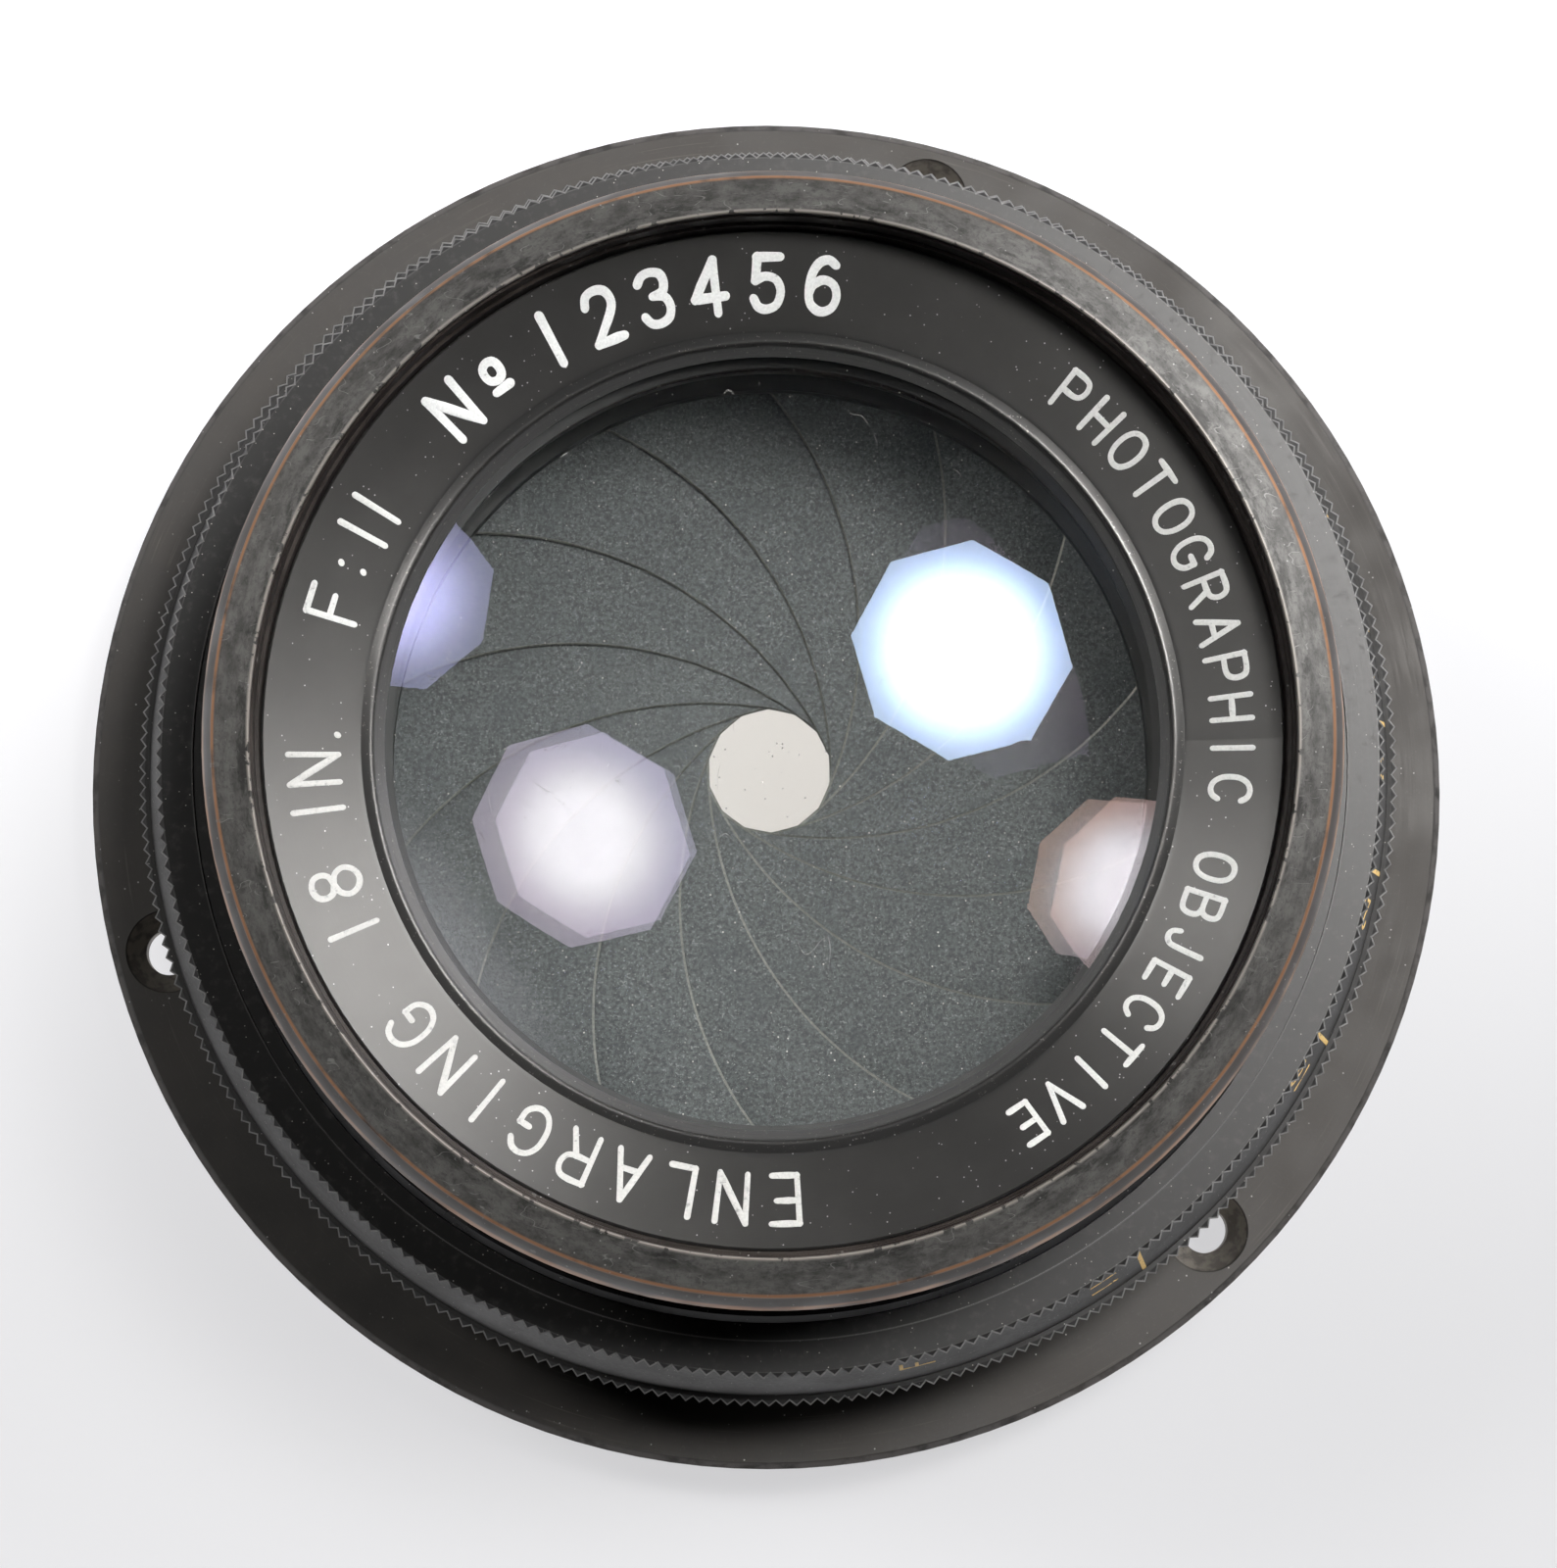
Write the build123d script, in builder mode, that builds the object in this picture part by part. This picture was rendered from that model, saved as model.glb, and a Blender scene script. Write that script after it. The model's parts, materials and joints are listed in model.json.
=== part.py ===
"""Large process / enlarging lens: 457 mm f/11 barrel lens with a screwed-on mounting flange.

Frame: the lens axis is +Z and the front of the lens faces +Z. The origin is on the axis, in the rear face
of the mounting flange, which is the face that seats on a lens board. All sizes are in millimetres.
The iris stands at a small stop, close to f/64.
"""

from build123d import *
import os
from math import asin, atan2, cos, degrees, radians, sin

# ---------------------------------------------------------------- driving dimensions
# Mounting flange
FLANGE_RADIUS = 44.45
FLANGE_THICKNESS = 3.2
FLANGE_EDGE_CHAMFER = 0.45
FLANGE_HUB_RADIUS = 36.4
FLANGE_HUB_TOP = 6.4
FLANGE_HOLES = 3
FLANGE_HOLE_CIRCLE_RADIUS = 40.8
FLANGE_HOLE_RADIUS = 1.5
FLANGE_COUNTERSINK_RADIUS = 2.75
FLANGE_FIRST_HOLE_ANGLE = 75.0

# Main barrel
BARREL_REAR = -4.0
BARREL_FRONT = 29.8
BOARD_SPIGOT_RADIUS = 32.6
FLANGE_THREAD_RADIUS = 33.0
INDEX_COLLAR_RADIUS = 37.2
INDEX_COLLAR_TOP = 12.6
RING_SEAT_RADIUS = 34.6
REAR_THREAD_RADIUS = 30.0
WEB_RADIUS = 25.0
WEB_BOTTOM = 12.0
FRONT_THREAD_RADIUS = 31.6

# Aperture ring
RING_REAR = 12.9
RING_FRONT = 29.3
RING_CLEARANCE = 0.06
REAR_KNURL_RADIUS = 40.0
REAR_KNURL_TOP = 18.4
REAR_KNURL_TEETH = 286
FRONT_KNURL_RADIUS = 38.06
FRONT_KNURL_BOTTOM = 25.2
FRONT_KNURL_TEETH = 272
KNURL_DEPTH = 0.36
BAND_REAR_RADIUS = 39.3
BAND_FRONT_RADIUS = 37.55
TICK_WIDTH = 0.32
TICK_DEPTH = 0.12
INDEX_ANGLE = 19.6

# Optics: focal length and stops
FULL_STOP = 11.0
MARKED_STOPS = (11, 16, 22, 32, 45, 64, 90)
FULL_OPENING_RADIUS = 19.8
REST_OPENING_RADIUS = 3.55

# Iris
BLADES = 14
BLADE_PITCH = 360.0 / BLADES
BLADE_INNER_RADIUS = 22.6
BLADE_OUTER_RADIUS = 30.2
BLADE_SPAN = 134.0
BLADE_THICKNESS = 0.05
BLADE_RISE = 0.027
FIRST_PIVOT_ANGLE = 9.83
PIN_RADIUS = 0.6
PIN_SHANK_RADIUS = 0.4
PIN_CLEARANCE = 0.06
RIVET_RADIUS = 0.85
RIVET_HEIGHT = 0.08
CAM_SLOT_WIDTH = 2.6
CAM_RATIO = 2.0
IRIS_HOUSING_RADIUS = 30.6
CAM_RING_CLEAR_RADIUS = 20.6
CAM_RING_BOTTOM = 15.85
CAM_RING_TOP = 17.65
PIVOT_RING_BOTTOM = 21.95
PIVOT_RING_TOP = 23.5
PIVOT_RING_RADIUS = 31.0
PIVOT_RING_CLEAR_RADIUS = 22.2
IRIS_RETAINER_TOP = 24.9
DRIVE_SCREW_ANGLE = 100.0

# Cells and glass; the rear half mirrors the front half about the plane z = OPTICAL_CENTRE
OPTICAL_CENTRE = 20.0
INNER_GLASS_RADIUS = 22.8
INNER_GLASS_BOTTOM = 30.2
INNER_GLASS_TOP = 36.2
INNER_GLASS_REAR_CURVE = 130.0
INNER_GLASS_FRONT_CURVE = 160.0
OUTER_GLASS_RADIUS = 24.0
OUTER_GLASS_BOTTOM = 40.0
OUTER_GLASS_TOP = 43.2
OUTER_GLASS_REAR_CURVE = 210.0
OUTER_GLASS_FRONT_CURVE = 110.0
GLASS_CLEAR_RADIUS = 23.1
CELL_BORE_CLEARANCE = 0.05
CELL_REAR_CLEAR_RADIUS = 22.4
CELL_BASE = 28.9
FRONT_CELL_RADIUS = 33.2
BEAD_RADIUS = 33.7
BEAD_HEIGHT = 46.6
RIM_EDGE_RADIUS = 32.9
RIM_EDGE_HEIGHT = 50.1
RIM_INNER_RADIUS = 30.7
RIM_TOP = 51.2
NAME_RING_RADIUS = 30.2
NAME_RING_EDGE_HEIGHT = 47.1
NAME_RING_LIP_RADIUS = 24.2
NAME_RING_LIP_HEIGHT = 44.6
REAR_CELL_RADIUS = 31.8
REAR_CELL_RIM = -6.5


# ---------------------------------------------------------------- iris geometry
PIVOT_RADIUS = (BLADE_INNER_RADIUS + BLADE_OUTER_RADIUS) / 2
BLADE_WIDTH = BLADE_OUTER_RADIUS - BLADE_INNER_RADIUS


def swing_for(opening_radius):
    """Angle that a blade has swung in from concentric, in degrees, for an opening of this radius."""
    return 2 * degrees(asin((BLADE_INNER_RADIUS - opening_radius) / (2 * PIVOT_RADIUS)))


def ring_turn_for(stop):
    """Turn of the aperture ring from rest, in degrees, that gives this stop; opening is positive."""
    opening_radius = FULL_OPENING_RADIUS * FULL_STOP / stop
    return CAM_RATIO * (REST_SWING - swing_for(opening_radius))


REST_SWING = swing_for(REST_OPENING_RADIUS)
OPEN_TURN = ring_turn_for(MARKED_STOPS[0])
CLOSE_TURN = ring_turn_for(MARKED_STOPS[-1])


def radial_plane(angle, height):
    """Plane through the lens axis at this height, facing outwards at this angle, with +Z upwards in it."""
    return Plane(
        origin=(0, 0, height),
        x_dir=(-sin(radians(angle)), cos(radians(angle)), 0),
        z_dir=(cos(radians(angle)), sin(radians(angle)), 0),
    )


def save(name, label):
    """Label a finished piece and write it as its own STEP file."""
    name.part.label = label
    export_step(name.part, f"parts/{label}.step")


os.makedirs("parts", exist_ok=True)


# ---------------------------------------------------------------- mounting flange
with BuildPart() as mounting_flange:
    with BuildSketch(Plane.XZ):
        with BuildLine():
            Polyline(
                (FLANGE_THREAD_RADIUS, 0),
                (FLANGE_RADIUS, 0),
                (FLANGE_RADIUS, FLANGE_THICKNESS),
                (FLANGE_HUB_RADIUS, FLANGE_THICKNESS),
                (FLANGE_HUB_RADIUS, FLANGE_HUB_TOP),
                (FLANGE_THREAD_RADIUS, FLANGE_HUB_TOP),
                close=True,
            )
        make_face()
    revolve(axis=Axis.Z)
    outer_edges = mounting_flange.edges().filter_by(GeomType.CIRCLE).group_by(SortBy.RADIUS)[-1]
    chamfer(outer_edges, FLANGE_EDGE_CHAMFER)
    with Locations(Plane.XY.offset(FLANGE_THICKNESS)):
        with PolarLocations(FLANGE_HOLE_CIRCLE_RADIUS, FLANGE_HOLES, start_angle=FLANGE_FIRST_HOLE_ANGLE):
            CounterSinkHole(
                radius=FLANGE_HOLE_RADIUS,
                counter_sink_radius=FLANGE_COUNTERSINK_RADIUS,
                depth=FLANGE_THICKNESS,
            )
save(mounting_flange, "mounting_flange")


# ---------------------------------------------------------------- main barrel
THROUGH = 1.0
SLOT_HALF_WIDTH = 0.9
SCREW_TIP_RADIUS = 0.8
SCREW_HEIGHT = (CAM_RING_BOTTOM + CAM_RING_TOP) / 2
WEB_TOP = CAM_RING_BOTTOM - RING_CLEARANCE
BARREL_EDGE = 0.4
RELIEF_DEPTH = 0.8
RELIEF_WIDTH = 0.6

barrel_outline = [
    (REAR_THREAD_RADIUS, BARREL_REAR),
    (BOARD_SPIGOT_RADIUS - BARREL_EDGE, BARREL_REAR),
    (BOARD_SPIGOT_RADIUS, BARREL_REAR + BARREL_EDGE),
    (BOARD_SPIGOT_RADIUS, 0),
    (FLANGE_THREAD_RADIUS, 0),
    (FLANGE_THREAD_RADIUS, FLANGE_HUB_TOP - RELIEF_WIDTH),
    (FLANGE_THREAD_RADIUS - RELIEF_DEPTH, FLANGE_HUB_TOP - RELIEF_WIDTH),
    (FLANGE_THREAD_RADIUS - RELIEF_DEPTH, FLANGE_HUB_TOP),
    (INDEX_COLLAR_RADIUS - BARREL_EDGE, FLANGE_HUB_TOP),
    (INDEX_COLLAR_RADIUS, FLANGE_HUB_TOP + BARREL_EDGE),
    (INDEX_COLLAR_RADIUS, INDEX_COLLAR_TOP - BARREL_EDGE),
    (INDEX_COLLAR_RADIUS - BARREL_EDGE, INDEX_COLLAR_TOP),
    (RING_SEAT_RADIUS, INDEX_COLLAR_TOP),
    (RING_SEAT_RADIUS, BARREL_FRONT - BARREL_EDGE),
    (RING_SEAT_RADIUS - BARREL_EDGE, BARREL_FRONT),
    (FRONT_THREAD_RADIUS, BARREL_FRONT),
    (FRONT_THREAD_RADIUS, PIVOT_RING_TOP),
    (PIVOT_RING_RADIUS, PIVOT_RING_TOP),
    (PIVOT_RING_RADIUS, PIVOT_RING_BOTTOM),
    (IRIS_HOUSING_RADIUS, PIVOT_RING_BOTTOM),
    (IRIS_HOUSING_RADIUS, WEB_TOP),
    (WEB_RADIUS, WEB_TOP),
    (WEB_RADIUS, WEB_BOTTOM),
    (REAR_THREAD_RADIUS, WEB_BOTTOM),
]

with BuildPart() as main_barrel:
    with BuildSketch(Plane.XZ):
        with BuildLine():
            Polyline(*barrel_outline, close=True)
        make_face()
    revolve(axis=Axis.Z)
    # circumferential slot that the drive screw travels in
    slot_reach = RING_SEAT_RADIUS + THROUGH
    slot_start = DRIVE_SCREW_ANGLE + CLOSE_TURN
    slot_sweep = OPEN_TURN - CLOSE_TURN
    with BuildSketch(Plane.XY.offset(SCREW_HEIGHT - SLOT_HALF_WIDTH)):
        with BuildLine():
            CenterArc((0, 0), slot_reach, slot_start, slot_sweep)
            CenterArc((0, 0), WEB_RADIUS, slot_start, slot_sweep)
            for end_angle in (slot_start, slot_start + slot_sweep):
                PolarLine(
                    (WEB_RADIUS * cos(radians(end_angle)), WEB_RADIUS * sin(radians(end_angle))),
                    slot_reach - WEB_RADIUS,
                    end_angle,
                )
        make_face()
    extrude(amount=2 * SLOT_HALF_WIDTH, mode=Mode.SUBTRACT)
    for end_angle in (slot_start, slot_start + slot_sweep):
        with BuildSketch(radial_plane(end_angle, SCREW_HEIGHT).offset(WEB_RADIUS)):
            Circle(SLOT_HALF_WIDTH)
        extrude(amount=slot_reach - WEB_RADIUS, mode=Mode.SUBTRACT)
    # engraved index line on the fixed collar
    index_plane = radial_plane(INDEX_ANGLE, (FLANGE_HUB_TOP + INDEX_COLLAR_TOP) / 2)
    with BuildSketch(index_plane.offset(INDEX_COLLAR_RADIUS - 2 * TICK_DEPTH)):
        Rectangle(TICK_WIDTH, INDEX_COLLAR_TOP - FLANGE_HUB_TOP)
    extrude(amount=THROUGH, mode=Mode.SUBTRACT)
save(main_barrel, "main_barrel")


# ---------------------------------------------------------------- aperture ring
RING_BORE_RADIUS = RING_SEAT_RADIUS + RING_CLEARANCE
KNURL_CHAMFER = 0.4
FACE_STEP_RADIUS = 35.7
FACE_STEP_DEPTH = 0.2
SCREW_HOLE_RADIUS = 1.25
TICK_LENGTH = 7.2


def tooth_outline(teeth, tip_radius):
    """Points of a straight knurl's outline: one root and one tip for each tooth."""
    points = []
    for tooth in range(teeth):
        root_angle = 360.0 * tooth / teeth
        tip_angle = 360.0 * (tooth + 0.5) / teeth
        for radius, angle in ((tip_radius - KNURL_DEPTH, root_angle), (tip_radius, tip_angle)):
            points.append((radius * cos(radians(angle)), radius * sin(radians(angle))))
    return points


def knurled_collar(teeth, tip_radius, bottom, top):
    """A knurled collar on the aperture ring, with both ends of its teeth chamfered."""
    with BuildPart() as collar:
        with BuildSketch(Plane.XY.offset(bottom)):
            with BuildLine():
                Polyline(*tooth_outline(teeth, tip_radius), close=True)
            make_face()
            Circle(RING_BORE_RADIUS, mode=Mode.SUBTRACT)
        extrude(amount=top - bottom)
        with BuildSketch(Plane.XZ):
            with BuildLine():
                Polyline(
                    (RING_BORE_RADIUS - THROUGH, bottom),
                    (tip_radius - KNURL_CHAMFER, bottom),
                    (tip_radius, bottom + KNURL_CHAMFER),
                    (tip_radius, top - KNURL_CHAMFER),
                    (tip_radius - KNURL_CHAMFER, top),
                    (RING_BORE_RADIUS - THROUGH, top),
                    close=True,
                )
            make_face()
        revolve(axis=Axis.Z, mode=Mode.INTERSECT)
    return collar.part


rear_collar = knurled_collar(REAR_KNURL_TEETH, REAR_KNURL_RADIUS, RING_REAR, REAR_KNURL_TOP)
front_collar = knurled_collar(FRONT_KNURL_TEETH, FRONT_KNURL_RADIUS, FRONT_KNURL_BOTTOM, RING_FRONT)

with BuildPart() as scale_band:
    with BuildSketch(Plane.XZ):
        with BuildLine():
            Polyline(
                (RING_BORE_RADIUS, REAR_KNURL_TOP),
                (BAND_REAR_RADIUS, REAR_KNURL_TOP),
                (BAND_FRONT_RADIUS, FRONT_KNURL_BOTTOM),
                (RING_BORE_RADIUS, FRONT_KNURL_BOTTOM),
                close=True,
            )
        make_face()
    revolve(axis=Axis.Z)
    # one engraved line for each marked stop, along the slope of the band
    band_slope = degrees(atan2(BAND_REAR_RADIUS - BAND_FRONT_RADIUS, FRONT_KNURL_BOTTOM - REAR_KNURL_TOP))
    band_height = (REAR_KNURL_TOP + FRONT_KNURL_BOTTOM) / 2
    band_radius = (BAND_REAR_RADIUS + BAND_FRONT_RADIUS) / 2
    for stop in MARKED_STOPS:
        tick_angle = INDEX_ANGLE - ring_turn_for(stop)
        on_band = Plane(
            radial_plane(tick_angle, band_height).location
            * Pos(0, 0, band_radius - TICK_DEPTH)
            * Rot(-band_slope, 0, 0)
        )
        with BuildSketch(on_band):
            Rectangle(TICK_WIDTH, TICK_LENGTH)
        extrude(amount=THROUGH, mode=Mode.SUBTRACT)

with BuildPart() as aperture_ring:
    add(rear_collar)
    add(scale_band.part)
    add(front_collar)
    # shallow step in the front face, next to the barrel
    with BuildSketch(Plane.XY.offset(RING_FRONT - FACE_STEP_DEPTH)):
        Circle(FACE_STEP_RADIUS)
        Circle(RING_BORE_RADIUS - THROUGH, mode=Mode.SUBTRACT)
    extrude(amount=THROUGH, mode=Mode.SUBTRACT)
    # threaded hole for the drive screw
    screw_plane = radial_plane(DRIVE_SCREW_ANGLE, SCREW_HEIGHT)
    with BuildSketch(screw_plane.offset(RING_BORE_RADIUS - THROUGH)):
        Circle(SCREW_HOLE_RADIUS)
    extrude(amount=REAR_KNURL_RADIUS, mode=Mode.SUBTRACT)
save(aperture_ring, "aperture_ring")


# ---------------------------------------------------------------- drive screw
SCREW_HEAD_OUTER = 39.2
SCREW_HEAD_INNER = 34.9
SCREW_TIP_INNER = 29.0
SCREW_FIT = 0.03
DRIVER_SLOT_WIDTH = 0.45
DRIVER_SLOT_DEPTH = 0.7

with BuildPart() as aperture_drive_screw:
    with BuildSketch(screw_plane.offset(SCREW_HEAD_INNER)):
        Circle(SCREW_HOLE_RADIUS - SCREW_FIT)
    extrude(amount=SCREW_HEAD_OUTER - SCREW_HEAD_INNER)
    with BuildSketch(screw_plane.offset(SCREW_TIP_INNER)):
        Circle(SCREW_TIP_RADIUS)
    extrude(amount=SCREW_HEAD_INNER - SCREW_TIP_INNER)
    with BuildSketch(screw_plane.offset(SCREW_HEAD_OUTER - DRIVER_SLOT_DEPTH)):
        Rectangle(DRIVER_SLOT_WIDTH, 3 * SCREW_HOLE_RADIUS)
    extrude(amount=THROUGH, mode=Mode.SUBTRACT)
save(aperture_drive_screw, "aperture_drive_screw")


# ---------------------------------------------------------------- iris cam ring
CAM_RING_RADIUS = IRIS_HOUSING_RADIUS - RING_CLEARANCE
CAM_SLOT_INNER = 21.4
CAM_SLOT_OUTER = 27.6
CAM_SLOT_ANGLE = FIRST_PIVOT_ANGLE - BLADE_SPAN - CAM_RATIO * REST_SWING
CAM_SCREW_BORE_INNER = 28.6

with BuildPart() as iris_cam_ring:
    with BuildSketch(Plane.XY.offset(CAM_RING_BOTTOM)):
        Circle(CAM_RING_RADIUS)
        Circle(CAM_RING_CLEAR_RADIUS, mode=Mode.SUBTRACT)
        slot_length = CAM_SLOT_OUTER - CAM_SLOT_INNER
        with PolarLocations((CAM_SLOT_INNER + CAM_SLOT_OUTER) / 2, BLADES, start_angle=CAM_SLOT_ANGLE):
            SlotOverall(slot_length, CAM_SLOT_WIDTH, mode=Mode.SUBTRACT)
    extrude(amount=CAM_RING_TOP - CAM_RING_BOTTOM)
    with BuildSketch(screw_plane.offset(CAM_SCREW_BORE_INNER)):
        Circle(SCREW_TIP_RADIUS + SCREW_FIT)
    extrude(amount=CAM_RING_RADIUS, mode=Mode.SUBTRACT)
save(iris_cam_ring, "iris_cam_ring")


# ---------------------------------------------------------------- iris pivot ring and its retaining ring
SPANNER_SLOT_WIDTH = 1.6
SPANNER_SLOT_DEPTH = 0.8

with BuildPart() as iris_pivot_ring:
    with BuildSketch(Plane.XY.offset(PIVOT_RING_BOTTOM)):
        Circle(PIVOT_RING_RADIUS - SCREW_FIT)
        Circle(PIVOT_RING_CLEAR_RADIUS, mode=Mode.SUBTRACT)
        with PolarLocations(PIVOT_RADIUS, BLADES, start_angle=FIRST_PIVOT_ANGLE):
            Circle(PIN_RADIUS + PIN_CLEARANCE, mode=Mode.SUBTRACT)
    extrude(amount=PIVOT_RING_TOP - PIVOT_RING_BOTTOM)
save(iris_pivot_ring, "iris_pivot_ring")

with BuildPart() as iris_retaining_ring:
    with BuildSketch(Plane.XY.offset(PIVOT_RING_TOP)):
        Circle(FRONT_THREAD_RADIUS - SCREW_FIT)
        Circle(PIVOT_RADIUS + 2 * PIN_RADIUS, mode=Mode.SUBTRACT)
    extrude(amount=IRIS_RETAINER_TOP - PIVOT_RING_TOP)
    with BuildSketch(Plane.XY.offset(IRIS_RETAINER_TOP - SPANNER_SLOT_DEPTH)):
        Rectangle(2 * FRONT_THREAD_RADIUS, SPANNER_SLOT_WIDTH)
    extrude(amount=SPANNER_SLOT_DEPTH, mode=Mode.SUBTRACT)
save(iris_retaining_ring, "iris_retaining_ring")


# ---------------------------------------------------------------- iris blades and their pins
# Each blade is a thin strip wound on a shallow helix, so that it lies over one neighbour and under the
# other. In its own frame it runs from the pivot pin, at angle 0, back to the drive pin at -BLADE_SPAN.
BLADE_OVERRUN = 10.0
BLADE_TO_CAM_RING = 0.36
BLADE_DRIVE_HEIGHT = CAM_RING_TOP + BLADE_TO_CAM_RING
PIN_END_INSET = 0.12
DRIVE_PIN_BOTTOM = CAM_RING_BOTTOM + PIN_END_INSET
PIVOT_PIN_TOP = PIVOT_RING_TOP - PIN_END_INSET
BLADE_TRIM = 1.0
PIN_STANDOFF = 0.04


def blade_height(angle):
    """Height of the blade's mid surface at this angle in the blade's own frame."""
    return BLADE_DRIVE_HEIGHT + BLADE_RISE * (angle + BLADE_SPAN)


def pin_spot(angle, height):
    """Plane on a pin's axis at this angle in the blade's own frame."""
    return Plane((PIVOT_RADIUS * cos(radians(angle)), PIVOT_RADIUS * sin(radians(angle)), height))


helix_start = -BLADE_SPAN - BLADE_OVERRUN
helix_turn = BLADE_SPAN + 2 * BLADE_OVERRUN
centre_helix = Helix(pitch=360 * BLADE_RISE, height=helix_turn * BLADE_RISE, radius=PIVOT_RADIUS)
centre_line = Pos(0, 0, blade_height(helix_start)) * Rot(0, 0, helix_start) * centre_helix
strip_start = centre_line @ 0
strip_plane = Plane(origin=strip_start, x_dir=(strip_start.X, strip_start.Y, 0), z_dir=centre_line % 0)

with BuildPart() as blade_pattern:
    with BuildSketch(strip_plane):
        Rectangle(BLADE_WIDTH + 2 * BLADE_TRIM, BLADE_THICKNESS)
    sweep(path=centre_line, is_frenet=True)
    with BuildSketch(Plane.XY.offset(CAM_RING_TOP)):
        with BuildLine(mode=Mode.PRIVATE) as crescent_line:
            CenterArc((0, 0), PIVOT_RADIUS, -BLADE_SPAN, BLADE_SPAN)
        SlotArc(crescent_line.line.edge(), BLADE_WIDTH)
    extrude(amount=PIVOT_RING_BOTTOM - CAM_RING_TOP, mode=Mode.INTERSECT)
    for pin_angle in (0, -BLADE_SPAN):
        with BuildSketch(pin_spot(pin_angle, CAM_RING_TOP)):
            Circle(PIN_SHANK_RADIUS)
        extrude(amount=PIVOT_RING_BOTTOM - CAM_RING_TOP, mode=Mode.SUBTRACT)

with BuildPart() as pin_pattern:
    pivot_height = blade_height(0)
    drive_height = blade_height(-BLADE_SPAN)
    half_blade = BLADE_THICKNESS / 2 + PIN_STANDOFF
    for pin_angle, height, facing, reach in (
        (0, pivot_height, 1, PIVOT_PIN_TOP - pivot_height),
        (-BLADE_SPAN, drive_height, -1, drive_height - DRIVE_PIN_BOTTOM),
    ):
        with BuildSketch(pin_spot(pin_angle, height + facing * half_blade)):
            Circle(PIN_RADIUS)
        extrude(amount=facing * (reach - half_blade))
        with BuildSketch(pin_spot(pin_angle, height + facing * half_blade)):
            Circle(PIN_SHANK_RADIUS)
        extrude(amount=-facing * 2 * half_blade)
        with BuildSketch(pin_spot(pin_angle, height - facing * half_blade)):
            Circle(RIVET_RADIUS)
        extrude(amount=-facing * RIVET_HEIGHT)

pivot_axis = Axis((PIVOT_RADIUS, 0, 0), (0, 0, 1))
blade_swung = blade_pattern.part.rotate(pivot_axis, -REST_SWING)
pins_swung = pin_pattern.part.rotate(pivot_axis, -REST_SWING)

for number in range(BLADES):
    turn = FIRST_PIVOT_ANGLE + number * BLADE_PITCH
    with BuildPart() as iris_blade:
        add(blade_swung.rotate(Axis.Z, turn))
    save(iris_blade, f"iris_blade_{number + 1:02d}")
    with BuildPart() as iris_pins:
        add(pins_swung.rotate(Axis.Z, turn))
    save(iris_pins, f"iris_pins_{number + 1:02d}")


# ---------------------------------------------------------------- glass elements
def sagitta(curve, radius):
    """Depth of a spherical surface of this curve at this radius."""
    return curve - (curve**2 - radius**2) ** 0.5


def surface_arc(curve, edge_radius, edge_height):
    """Arc of a glass surface from the axis to its edge; a positive curve bulges towards +Z."""
    reach = degrees(asin(edge_radius / abs(curve)))
    centre_drop = (curve**2 - edge_radius**2) ** 0.5
    if curve > 0:
        return CenterArc((0, edge_height - centre_drop), curve, 90 - reach, reach)
    return CenterArc((0, edge_height + centre_drop), -curve, -90, reach)


def glass_element(radius, bottom, top, rear_curve, front_curve):
    """A round lens with spherical surfaces; bottom and top are the heights of its edge."""
    with BuildPart() as element:
        with BuildSketch(Plane.XZ):
            with BuildLine():
                rear_surface = surface_arc(rear_curve, radius, bottom)
                front_surface = surface_arc(front_curve, radius, top)
                Line((radius, bottom), (radius, top))
                rear_middle = rear_surface.vertices().sort_by(Axis.X)[0]
                front_middle = front_surface.vertices().sort_by(Axis.X)[0]
                Line((0, rear_middle.Y), (0, front_middle.Y))
            make_face()
        revolve(axis=Axis.Z)
    return element


def mirrored(element):
    """The same piece turned to the rear half of the lens."""
    return element.part.mirror(Plane.XY.offset(OPTICAL_CENTRE))


front_outer_element = glass_element(
    OUTER_GLASS_RADIUS, OUTER_GLASS_BOTTOM, OUTER_GLASS_TOP, -OUTER_GLASS_REAR_CURVE, OUTER_GLASS_FRONT_CURVE
)
save(front_outer_element, "front_outer_element")

front_inner_element = glass_element(
    INNER_GLASS_RADIUS, INNER_GLASS_BOTTOM, INNER_GLASS_TOP, INNER_GLASS_REAR_CURVE, -INNER_GLASS_FRONT_CURVE
)
save(front_inner_element, "front_inner_element")

with BuildPart() as rear_outer_element:
    add(mirrored(front_outer_element))
save(rear_outer_element, "rear_outer_element")

with BuildPart() as rear_inner_element:
    add(mirrored(front_inner_element))
save(rear_inner_element, "rear_inner_element")


# ---------------------------------------------------------------- spacer rings
SPACER_INNER_RADIUS = 22.5
GLASS_SEAT_GAP = 0.02

with BuildPart() as front_spacer_ring:
    with BuildSketch(Plane.XZ):
        with BuildLine():
            spacer_drop = sagitta(OUTER_GLASS_REAR_CURVE, OUTER_GLASS_RADIUS) - sagitta(
                OUTER_GLASS_REAR_CURVE, SPACER_INNER_RADIUS
            )
            Polyline(
                (SPACER_INNER_RADIUS, INNER_GLASS_TOP + GLASS_SEAT_GAP),
                (OUTER_GLASS_RADIUS, INNER_GLASS_TOP + GLASS_SEAT_GAP),
                (OUTER_GLASS_RADIUS, OUTER_GLASS_BOTTOM - GLASS_SEAT_GAP),
                (SPACER_INNER_RADIUS, OUTER_GLASS_BOTTOM - GLASS_SEAT_GAP - spacer_drop),
                close=True,
            )
        make_face()
    revolve(axis=Axis.Z)
save(front_spacer_ring, "front_spacer_ring")

with BuildPart() as rear_spacer_ring:
    add(mirrored(front_spacer_ring))
save(rear_spacer_ring, "rear_spacer_ring")


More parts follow.
